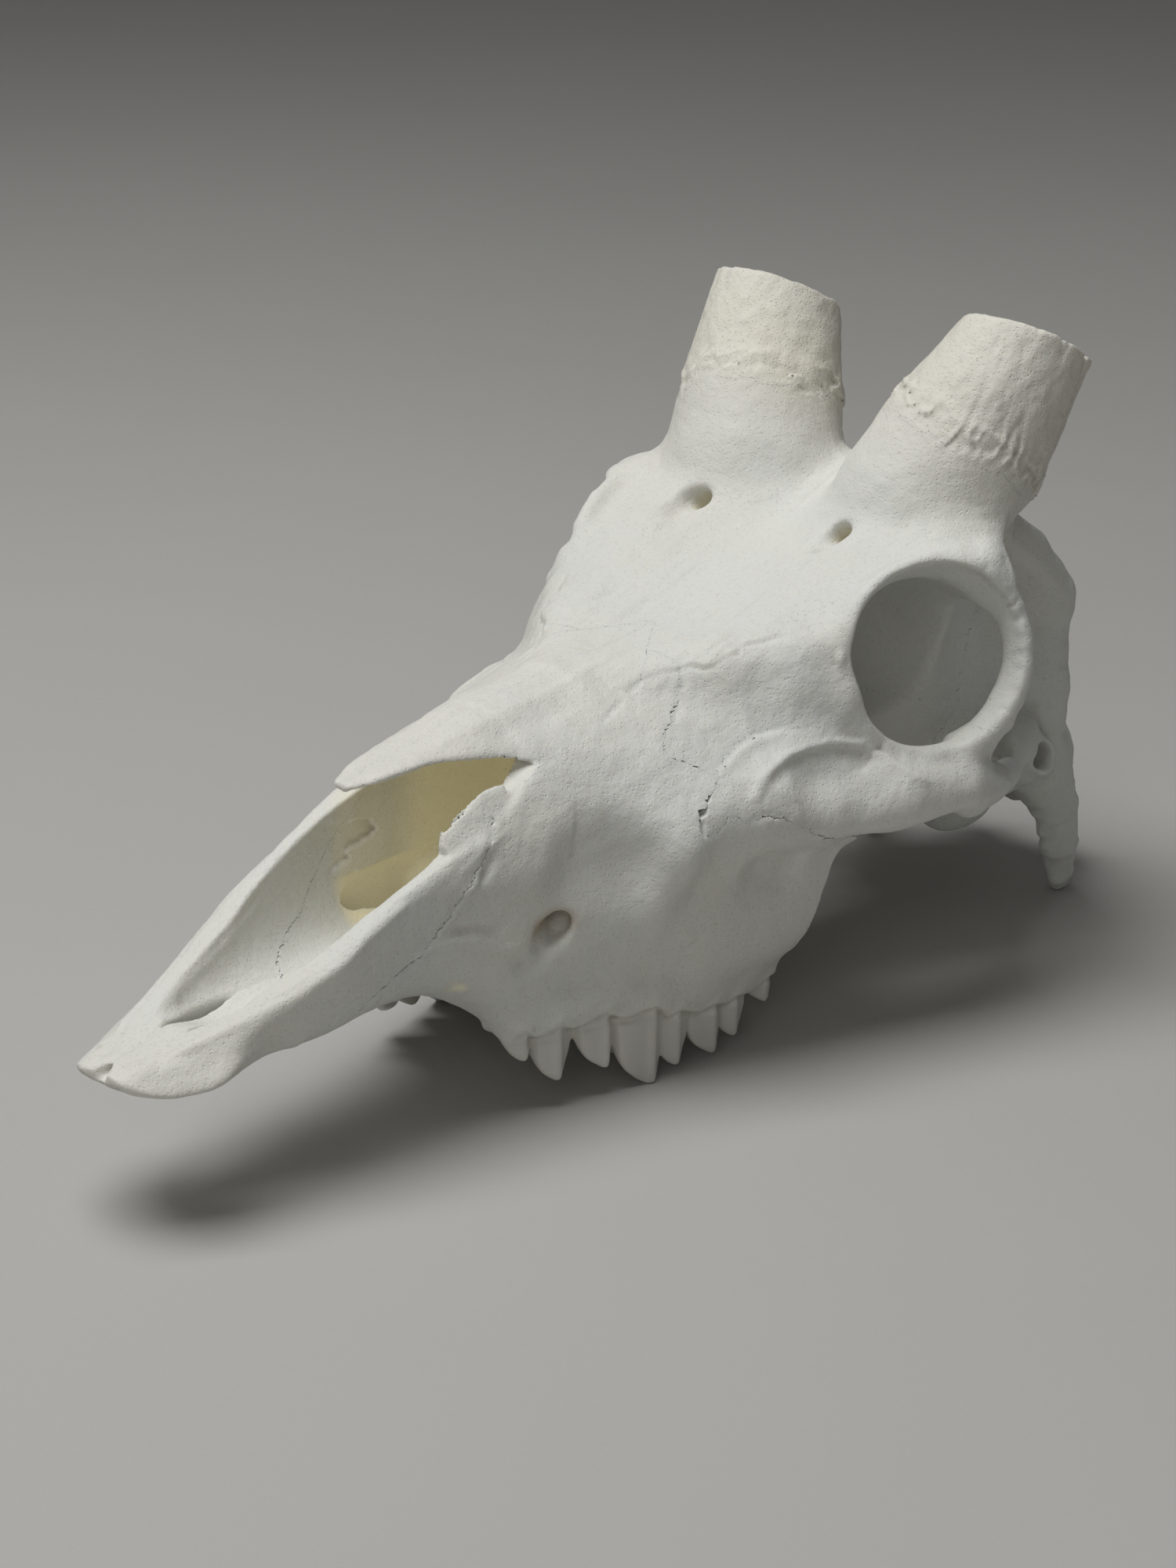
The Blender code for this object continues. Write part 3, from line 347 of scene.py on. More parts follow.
def face():
    """Snout and cheeks back to the orbits."""
    width = curve((0, 12), (20, 13.6), (34, 15.6), (46, 17.9), (70, 20.0), (82, 22.6), (92, 25.2),
                  (104, 28.6), (118, 33.2), (132, 37.5), (146, 40), (160, 41.5), (176, 43))
    top = curve((0, 66), (64, 72.0), (79, 74.6), (87, 76.6), (95, 78.4), (103, 79.3), (111, 80.0),
                (123, 81.7), (134, 83.1), (148, 84.9), (161, 88.4), (171, 90.5), (180, 92))
    level = curve((0, 40), (60, 50), (75, 53), (90, 50), (110, 54), (130, 58), (150, 60), (170, 62))
    bottom = curve((0, 29), (22, 26.8), (43, 26.8), (58, 27.8), (70, 27.6), (79, 25.4), (86, 21.0),
                   (91, 16.8), (96, 15.2), (110, 15.5), (122, 13.4), (136, 11.4), (150, 11), (166, 14))
    upper = curve((60, 1.8), (90, 1.66), (101, 1.66), (112, 1.6), (122, 1.5), (135, 1.5), (150, 1.7),
                  (176, 2.2))
    lower = curve((0, 2.8), (30, 3.4), (75, 3.4), (95, 4.0), (120, 4.4), (166, 4.4))
    return loft(16, 176, width, top, level, bottom, upper, lower)


def lobes():
    """Flat spatulate front ends of the premaxillae."""
    width = curve((2.2, 5.0), (4, 9.0), (8, 13.4), (12, 15.8), (17, 16.6), (22, 15.8), (30, 13.5),
                  (38, 11.5))
    top = curve((2.2, 31.4), (5, 32.6), (12, 33.8), (24, 35.6), (38, 35))
    level = curve((2.2, 30.4), (12, 29.8), (24, 30.6), (38, 32))
    bottom = curve((2.2, 29.6), (5, 28.2), (12, 26.9), (24, 27.0), (38, 29.5))
    return loft(FRONT, 38, width, top, level, bottom, 2.2, 2.2)


def lobe_notch():
    """Notch between the two lobes."""
    return limb([(0, -1, 31), (0, 6.0, 31)], [2.6, 0.7])


def nasal_opening():
    """Everything above the premaxillae as far back as the notch under the nasal bones."""
    rim = curve((-5, 32), (4, 33), (12, 34.2), (22, 37.0), (40, 42.8), (46, 45.3), (52, 49.0), (58, 52.1),
                (70, 57.1), (82, 61.3), (88, 63.4), (94, 67), (100, 71.5), (104, 74))
    crest = curve((0, 4), (16, 8.6), (28, 11.8), (40, 15.2), (46, 16.6), (58, 17.6), (70, 18.5),
                  (82, 21), (100, 22))

    fall = 0.9
    rear = 101

    def distance(x, s, z):
        above = rim(s)-fall*np.maximum(x-crest(s), 0)-z
        return np.maximum(0.8*above, s-rear)
    return distance, np.array([-60., -6., 28.]), np.array([60., 104., 110.])


def nasal_cavity():
    """Hollow of the snout behind and under the opening."""
    width = curve((20, 5.5), (30, 8.5), (44, 11.5), (58, 13.8), (72, 15.8), (85, 16.8), (100, 17.5),
                  (120, 17), (140, 12))
    top = curve((20, 58), (62, 69.0), (80, 72.0), (96, 74.5), (114, 77), (126, 75.5), (140, 72.5))
    level = curve((20, 40), (60, 50), (90, 50), (140, 56))
    bottom = curve((20, 36), (28, 33.5), (44, 33.0), (100, 33), (120, 36), (140, 44))
    return loft(20, 140, width, top, level, bottom, 2.2, 2.6)


def nasal_roof():
    """Pair of arched nasal bones with blunt free tips."""
    top = curve((62, 72.2), (67, 72.9), (79, 74.9), (87, 76.9), (95, 78.7), (103, 79.5), (112, 79.8),
                (124, 79.0), (136, 77))
    edge = curve((62, 71.4), (66, 71.8), (72, 73.1), (83, 73.9), (89, 73.7), (95.5, 73.0), (101, 71.5),
                 (112, 69.5), (136, 68))
    width = curve((62, 2.2), (65, 3.6), (68, 4.7), (72, 5.9), (83, 8.3), (89, 10.4), (95.5, 12.9),
                  (101, 15.8), (112, 17.0), (136, 18))
    arch = 1.9
    seam_depth = 0.5
    seam_width = 1.1
    edge_thickness = 1.0
    more_at_seam = 1.8
    tip = 63.4
    tip_side = 1.6
    back = 134

    def distance(x, s, z):
        half = width(s)
        u = np.clip(x/half, 0, 1.25)
        crown = top(s)-(top(s)-edge(s))*u**arch-seam_depth*np.exp(-(x/seam_width)**2)
        under = crown-edge_thickness-more_at_seam*(1-u)
        plate = np.maximum(z-crown, under-z)*0.9
        plate = smooth_max(plate, (x-half)*0.9, 1.2)
        plate = smooth_max(plate, tip+0.5*np.abs(x-tip_side)-s, 1.5)
        return smooth_max(plate, s-back, 1.0)
    return distance, np.array([-24., 58., 64.]), np.array([24., 136., 90.])


def infraorbital_foramen():
    """Nerve opening low on the side of the snout."""
    return limb([(31, 91, 36.5), (26.6, 95.5, 38.4), (23.4, 101, 40.2)], [2.6, 3.2, 2.2])


def palate_vault():
    """Trough between the tooth rows."""
    width = curve((76, 10), (90, 13), (110, 16), (140, 18.5), (160, 18.5), (176, 18))
    top = curve((74, 28.5), (92, 29.5), (120, 28), (150, 26), (182, 30))
    return loft(74, 182, width, top, -2, -30, 2.6, 2.6)


def alveolar_edge():
    """Edge of the jaw that holds the cheek teeth."""
    radii = np.array([3.6, 4.4, 4.8, 4.8, 4.8, 4.8, 4.6, 4.0])
    overhang = 0.5
    points = []
    for lobe, radius in zip(CROWN_LOBES, radii):
        place, outer_side, gum = lobe[0], lobe[1], lobe[-1]
        points.append((outer_side+overhang-radius, place, gum+radius-overhang))
    return limb(points, radii)


def crown_lobe(place, outer_side, tip, front, back, gum):
    """Pointed lobe of a cheek tooth: ribbed cheek side, lower tongue side, root in the jaw."""
    depth = 10.0
    tip_radius = 1.6
    rib_height = 0.9
    rib_width = 1.4
    bow_depth = 1.3
    valley_depth = 2.0
    valley_place = 4.4
    valley_width = 2.2
    step_height = 4.0
    step_width = 3.5
    root = 4.0

    def distance(x, s, z):
        along = s-place
        half = np.where(along < 0, front, back)
        rounded = np.sqrt(along*along+tip_radius**2)-tip_radius
        slant = 1.15+0.35*np.clip(along/3, -1, 1)
        height = np.clip((z-tip)/(gum-tip), 0.0, 1.15)
        reach = half*(0.84+0.26*height**0.6)
        bow = bow_depth*(along/half)**2
        rib = rib_height*np.exp(-(along/rib_width)**2)
        cheek_side = outer_side-0.4-bow+rib
        tongue_side = outer_side-depth+bow
        valley = valley_depth*np.exp(-((x-outer_side+valley_place)/valley_width)**2)
        step = step_height*np.clip((outer_side-step_width-x)/step_width, 0, 1)
        crown = smooth_max(np.abs(along)-reach, 0.62*(tip+valley+step+slant*rounded-z), 1.6)
        crown = smooth_max(crown, x-cheek_side, 0.8)
        crown = smooth_max(crown, tongue_side-x, 0.8)
        return smooth_max(crown, z-gum-root, 1.0)
    low = np.array([outer_side-depth-2, place-front-2, tip-1])
    return distance, low, np.array([outer_side+2, place+back+2, gum+root+2])


# Forehead, orbits and horns

def forehead():
    """Frontal bones with the roofs of the orbits."""
    width = curve((128, 6), (138, 16), (150, 27), (160, 34.5), (167, 39), (175, 42.5), (182, 45.5),
                  (188, 47.8), (194, 49.4), (201, 51.0), (206, 51.0), (212, 48), (218, 43), (226, 37),
                  (234, 32))
    top = curve((128, 77), (138, 82), (150, 85.8), (160, 88.5), (167, 91), (175, 95.2), (182, 98.4),
                (190, 100.8), (200, 103), (212, 104.8), (222, 105.4), (234, 99))
    level = curve((128, 70), (138, 74), (150, 78), (160, 80), (167, 82), (175, 87), (190, 92), (215, 94),
                  (234, 92))
    bottom = curve((128, 60), (167, 62), (200, 66), (234, 60))
    upper = curve((128, 3.6), (167, 3.6), (182, 4.6), (200, 4.6), (212, 3.6))
    return loft(128, 234, width, top, level, bottom, upper, 2.2)


def forehead_dish():
    """Shallow hollow along the middle of the forehead."""
    radius = 60
    floor = ((136, 82.8), (145, 84.4), (158, 88.8), (171, 93.4), (182, 97.4), (192, 100.8), (205, 105.2),
             (222, 110.4))
    return limb([(0, s, z+radius) for s, z in floor], radius)


def middle_mass():
    """Solid middle of the skull between the orbits."""
    width = curve((150, 30), (170, 27), (190, 24), (215, 27), (232, 30))
    top = curve((150, 84), (175, 90), (200, 98), (232, 102))
    bottom = curve((150, 38), (175, 42), (200, 42), (232, 36))
    return loft(150, 232, width, top, 66, bottom, 2.4, 2.2)


def orbit_ring():
    """Raised rim of the orbit, broadest at the back and below."""
    least = 0.9
    more = 1.0
    points = []
    radii = []
    for turn in np.linspace(0, 2*math.pi, 33):
        radius = least+more*max(0.0, math.cos(turn+1.25))**0.9
        radial = math.cos(turn)*RIM_BACK+math.sin(turn)/RIM_FLATNESS*RIM_UP
        points.append(RIM+(RIM_RADIUS+0.75*radius)*radial-(0.6+0.8*radius)*RIM_OUT)
        radii.append(radius)
    return limb(points, radii)


def orbit_bowl():
    """Deep part of the eye socket."""
    depth = 13.0
    shift = 1.4
    centre = RIM-depth*RIM_OUT-shift*RIM_BACK-shift*RIM_UP
    return rounded_block(centre, [RIM_OUT, RIM_BACK, RIM_UP], [24.0, 17.6, 17.4], 2.3)


def rim_axes(x, s, z):
    """Distances out of the orbit, back along its rim and up along it, from the middle of the rim."""
    offset = from_point(RIM, x, s, z)
    return dot(RIM_OUT, offset), dot(RIM_BACK, offset), dot(RIM_UP, offset)


def orbit_mouth():
    """Outer part of the eye socket, a cone that is widest at the rim and leans in most at the back."""
    reach = 14
    middle = 6
    least_lean = 0.34
    more_at_back = 0.30
    more_at_top = 0.16

    def distance(x, s, z):
        out, back, up = rim_axes(x, s, z)
        radius = np.sqrt(back*back+(RIM_FLATNESS*up)**2)
        at_back = np.clip((back-0.4*up)/(radius+1e-9), 0, 1)
        at_top = np.clip(up/(radius+1e-9), 0, 1)
        lean = least_lean+more_at_back*at_back+more_at_top*at_top
        flare = np.where(out > 0, 0.12*np.minimum(out, 12), lean*out)
        return np.maximum(radius-(RIM_RADIUS+flare), np.abs(out-middle)-reach)
    return distance, RIM-34, RIM+34


def cheek_bone():
    """Zygomatic bone from the face, under the orbit, to the arch."""
    return limb([(33, 126, 54), (38, 142, 55), (44.0, 160, 55), (49.3, 176, 53.4), (53.2, 191, 52.4),
                 (53, 203, 50)], [4.5, 7.5, 8.0, 7.4, 6.7, 5.0])


def zygomatic_arch():
    """Arch back to the side of the braincase."""
    return limb([(53.5, 196, 50), (51.5, 208, 48.5), (46.5, 220, 47.0), (40, 232, 47), (33, 242, 46)],
                [5.0, 3.6, 3.4, 4.2, 6.5], 0.75, (1, 0.3, 0))


def postorbital_bar():
    """Strut behind the orbit."""
    radii = [4.4, 4.8, 5.0, 5.0, 5.0, 5.0, 5.0, 5.2, 5.6]
    depth = 4.8
    outside_rim = 1.4
    points = []
    for turn in np.linspace(0.8, -1.2, len(radii)):
        radial = math.cos(turn)*RIM_BACK+math.sin(turn)*RIM_UP
        points.append(RIM+(RIM_RADIUS+outside_rim)*radial-depth*RIM_OUT)
    return limb(points, radii, 0.58, RIM_BACK)


def pedicle():
    """Base of the horn core below the burr."""
    foot = BURR-HORN_AXIS*22+np.array([-1, 0, -2])
    return limb([foot, BURR-HORN_AXIS*10, BURR-HORN_AXIS*2], [16.2, 16.0, 16.8])


def horn_foot_web():
    """Smooth slope from the foot of the horn down to the rear of the orbit's roof."""
    return limb([(25, 213, 98), (35, 207, 93.5), (42.5, 201.5, 91.5)], [12.5, 10, 7.5])


def horn_core():
    """Tapering core above the burr."""
    return limb([BURR-HORN_AXIS*16, BURR, BURR+HORN_AXIS*(STUB_LENGTH+8)], [19, 18.3, 12.9])


def saw_cut():
    """Everything past the plane that the horns were sawn along."""
    centre = BURR+HORN_AXIS*STUB_LENGTH

    def distance(x, s, z):
        return -dot(SAW_NORMAL, from_point(centre, x, s, z))
    return distance, centre-np.array([30, 25, 20]), centre+np.array([30, 40, 40])


def supraorbital_foramen():
    """Vessel opening in the forehead in front of the horn."""
    return limb([(19.8, 188, 103.5), (19.6, 192.0, 100.2), (19.2, 196.5, 97.0)], [1.9, 2.4, 2.0])


def supraorbital_groove():
    """Groove that runs forward from the opening."""
    return limb([(19.6, 189.5, 101.9), (19.0, 184, 99.9), (18.4, 178.5, 97.8)], [2.6, 2.1, 0.9])


# Braincase and base

def braincase():
    """Rear box of the skull."""
    width = curve((196, 24), (210, 29), (225, 31.5), (240, 32.5), (254, 32), (266, 27), (276, 18))
    top = curve((196, 100), (214, 104), (224, 104.8), (234, 100.5), (246, 94.5), (257, 89.5), (266, 82),
                (272, 70), (276, 60))
    level = curve((196, 70), (225, 64), (250, 56), (276, 45))
    bottom = curve((196, 44), (215, 34), (235, 26), (255, 24), (268, 26), (276, 30))
    upper = curve((196, 2.1), (222, 2.5), (238, 3.4), (257, 3.2), (276, 2.3))
    return loft(196, 276, width, top, level, bottom, upper, 2.3)


def nuchal_crest():
    """Ridge round the back of the braincase."""
    return limb([(0, 263, 85), (12, 261.5, 83.5), (23, 257.5, 79), (29, 257, 71), (31, 256.5, 60),
                 (31, 255.5, 46), (30, 256, 32)], [5.0, 4.6, 4.2, 4.0, 4.2, 4.4, 4.6])


def temporal_line():
    """Ridge from the back of the horn pedicle down to the nuchal crest."""
    return limb([(28, 226, 102), (24.5, 240, 94.5), (27, 250, 87), (30, 257, 76)], [6, 4.2, 4.0, 3.6])


def temporal_fossa():
    """Hollow on the side of the braincase for the jaw muscle."""
    axes = [(1, 0.15, -0.12), (-0.15, 1, 0), (0.12, 0, 1)]
    return rounded_block((49, 228, 76), axes, [19.5, 21, 27], 2.3)


def gap_behind_bar():
    """Way from the orbit into the temporal fossa, inside the bar."""
    return rounded_block((43.5, 211.5, 73), np.eye(3), [6.0, 12.5, 13.5], 2.3)


def gap_under_arch():
    """Space inside the arch, open below."""
    return limb([(38, 196, 40), (37, 208, 44), (37, 218, 48)], [9, 9.5, 9])


def gap_behind_teeth():
    """Space behind the rear end of the tooth-bearing jaw."""
    rim = curve((161, 8), (162.5, 24), (165, 34), (170, 41), (179, 45.8), (200, 46.5))
    inner_side = 15.5

    def distance(x, s, z):
        return np.maximum(z-rim(s), inner_side-x)*0.8
    return distance, np.array([12., 158., -5.]), np.array([70., 212., 46.])


def skull_base():
    """Bar of bone along the underside."""
    return limb([(0, 178, 52), (0, 200, 46), (0, 222, 36), (0, 245, 29), (0, 268, 26), (0, 278, 27)],
                [12, 13, 12, 10.5, 9.5, 9])


def palatine_wing():
    """Thin upright plate beside the inner nostril."""
    return limb([(11, 150, 32), (11.5, 170, 36), (12.5, 190, 36), (13, 206, 34), (12.5, 221, 30)],
                [13, 12, 10, 8, 4.5], 0.16, (1, 0.02, 0.0))


def inner_nostril():
    """Channel between the palatine wings."""
    width = curve((156, 9.0), (200, 10.0), (232, 9.5))
    top = curve((156, 42), (178, 43), (200, 36), (232, 24))
    return loft(156, 232, width, top, 15, -10, 2.2, 2.2)


def condyle():
    """Joint knob beside the great foramen."""
    return limb([(15, 277, 36), (13.5, 281.0, 28), (7.5, 280.5, 20.5)], [6.5, 7.8, 6.0])


def great_foramen():
    """Opening for the spinal cord."""
    return rounded_block((0, 282, 37), np.eye(3), (9.5, 18, 9.0))


def paracondylar_process():
    """Long prong beside the condyle, which the skull rests on."""
    return limb([(31, 257, 34), (30.5, 263, 24), (29.5, 267.5, 13), (28, 270.5, 4.9), (27.6, 271, 2.9)],
                [7.6, 6.4, 5.2, 4.0, 3.3], 0.62, (1, -0.25, 0.1))


def ear_bulla():
    """Swelling under the ear."""
    return rounded_block((19, 240, 30), [(1, 0, 0), (0, 1, 0.15), (0, -0.15, 1)], [7.0, 11.5, 8.0], 2.2)


def ear_tube():
    """Short bony tube of the ear."""
    return limb([(28, 245, 38), (35.5, 246.5, 41)], [7.0, 4.8])


def ear_hole():
    """Bore of the ear tube."""
    return limb([(29, 245.5, 41), (41, 246, 42)], [2.8, 3.2])


def skull_form(step):
    """The left half of the skull as one form; the number after each shape is its blend width."""
    form = Form((0.5*step, -3, -3), (HALF_WIDTH, REAR+5, HEIGHT), step)
    for shape, blend in ((face(), 2), (middle_mass(), 6), (forehead(), 9), (cheek_bone(), 9),
                         (braincase(), 8)):
        form.add(shape, blend)
    form.cut(forehead_dish(), 3)
    form.add(alveolar_edge(), 5)
    form.add(lobes(), 4)
    form.cut(lobe_notch(), 1.5)
    for shape, blend in ((nuchal_crest(), 8), (temporal_line(), 8), (skull_base(), 6), (horn_foot_web(), 9),
                         (pedicle(), 12), (horn_core(), 3)):
        form.add(shape, blend)
    for shape, blend in ((palate_vault(), 4), (gap_behind_teeth(), 4), (temporal_fossa(), 7)):
        form.cut(shape, blend)
    for shape, blend in ((postorbital_bar(), 5), (orbit_ring(), 4.5), (zygomatic_arch(), 3)):
        form.add(shape, blend)
    for shape, blend in ((orbit_bowl(), 2.5), (orbit_mouth(), 1.5), (gap_behind_bar(), 8),
                         (gap_under_arch(), 4)):
        form.cut(shape, blend)
    form.add(palatine_wing(), 3)
    form.cut(inner_nostril(), 3)
    form.add(condyle(), 4)
    form.cut(great_foramen(), 2.5)
    form.add(ear_bulla(), 3)
    form.add(ear_tube(), 3)
    form.cut(ear_hole(), 1.5)
    form.add(paracondylar_process(), 4)
    form.cut(nasal_cavity(), 1.5)
    form.cut(nasal_opening(), 1.2)
    form.add(nasal_roof(), 1.5)
    form.cut(supraorbital_groove(), 3)
    form.cut(supraorbital_foramen(), 1.2)
    form.cut(infraorbital_foramen(), 2.0)
    form.cut(saw_cut(), 1.0)
    for lobe in CROWN_LOBES:
        form.add(crown_lobe(*lobe), 0.8)
    return form


# Fine shape on both sides of the skull. Places are (x, s, z) in millimetres on the left side.

def palatine_fissure(side):
    """Long slit through the floor of the snout beside the middle strut."""
    half = curve((18, 0.05), (21, 0.45), (25, 0.75), (33, 0.7), (40, 0.35), (46, 0.05), (61, 0.05))
    middle = curve((17, 0.5), (22, 1.4), (29, 3.9), (40, 5.4), (61, 5.8))
    shift = 4.2 if side > 0 else 0.0
    foot = 24
    head = 44

    def distance(x, s, z):
        return np.maximum(np.abs(side*x-middle(s)-shift)-half(s), np.maximum(foot-z, z-head))
    return distance, np.array([-12., 15., 24.]), np.array([12., 63., 44.])


def inner_lining():
    """Thin second layer of bone on the right wall of the nose, with a stepped front edge."""
    edge = curve((36, 110), (43.6, 92), (44.6, 80.5), (46.4, 77.4), (47.6, 81.4), (49.8, 81.8),
                 (50.6, 86.8), (53.6, 87.8), (54.8, 85.0), (55.6, 80.0), (62, 78.6), (66, 82))
    lower = curve((76, 45.4), (82, 44.0), (104, 37.5), (132, 34))
    opening = nasal_opening()[0]
    inner_side = 15.4
    outer_side = 19
    rear = 132
    head = 66
    edge_room = 1.2

    def distance(x, s, z):
        layer = np.maximum(np.maximum(edge(z)-s, s-rear), np.maximum(lower(s)-z, z-head))
        layer = np.maximum(layer, np.maximum(inner_side+0.02*(s-80)+x, -x-outer_side)*0.9)
        return np.maximum(layer, edge_room-opening(-x, s, z))
    return distance, np.array([-20., 74., 34.]), np.array([-13., 134., 74.])


def lower_recess():
    """Hollow of the cavity's right wall under the lining."""
    return rounded_block((-15.0, 98, 38), np.eye(3), (2.5, 20.5, 6.2), 2.6)


def rim_plate():
    """Plate that stands up inside the front edge of the left upper jaw and slopes down to it."""
    top = curve((74, 62.6), (77, 64.0), (82, 66.2), (91.7, 68.6), (103, 70.0), (106, 70.4))
    middle = curve((74, 14.8), (90, 15.2), (106, 16.4))
    outer_side = 21
    front = 74.9
    rear = 106

    def distance(x, s, z):
        inner_side = middle(s)+0.06*(66-z)-x
        slope = z-top(s)+1.2*(x-middle(s))
        plate = np.maximum(np.maximum(inner_side, x-outer_side), 0.7*slope)
        front_edge = front+0.25*np.abs(60-z)-s
        return np.maximum(plate, np.maximum(front_edge, s-rear))
    return distance, np.array([12., 73., 52.]), np.array([21., 106., 72.])


def roof_slit(side):
    """Narrow rear end of the nasal opening, between the roof and the upper jaw."""
    middle = curve((93, 69.0), (98, 70.3), (101.6, 71.2))
    half = curve((93, 2.0), (98, 1.15), (101.6, 0.1))
    front = 93
    rear = 101.6
    inner_side = 11
    outer_side = 23

    def distance(x, s, z):
        across = np.maximum(inner_side-side*x, side*x-outer_side)
        along = np.maximum(front-s, s-rear)
        return np.maximum(np.maximum(np.abs(z-middle(s))-half(s), across), along)
    low_side, high_side = sorted((side*inner_side, side*outer_side))
    return distance, np.array([low_side, 92., 66.]), np.array([high_side, 103., 73.])


def mirrored(points, side):
    """Places moved to a side of the skull."""
    return [(side*x, s, z) for x, s, z in points]


CHEEK_CREST = ((42.6, 136.4, 59.6), (41.3, 140.8, 63.1), (40.8, 145.1, 64.4), (40.5, 150.3, 65.6),
               (41.2, 155.8, 66.0), (42.5, 161.8, 65.7), (44.7, 169.6, 63.9), (48.8, 172.3, 61.3),
               (53.3, 174.5, 59.4), (56.4, 178.6, 56.5))

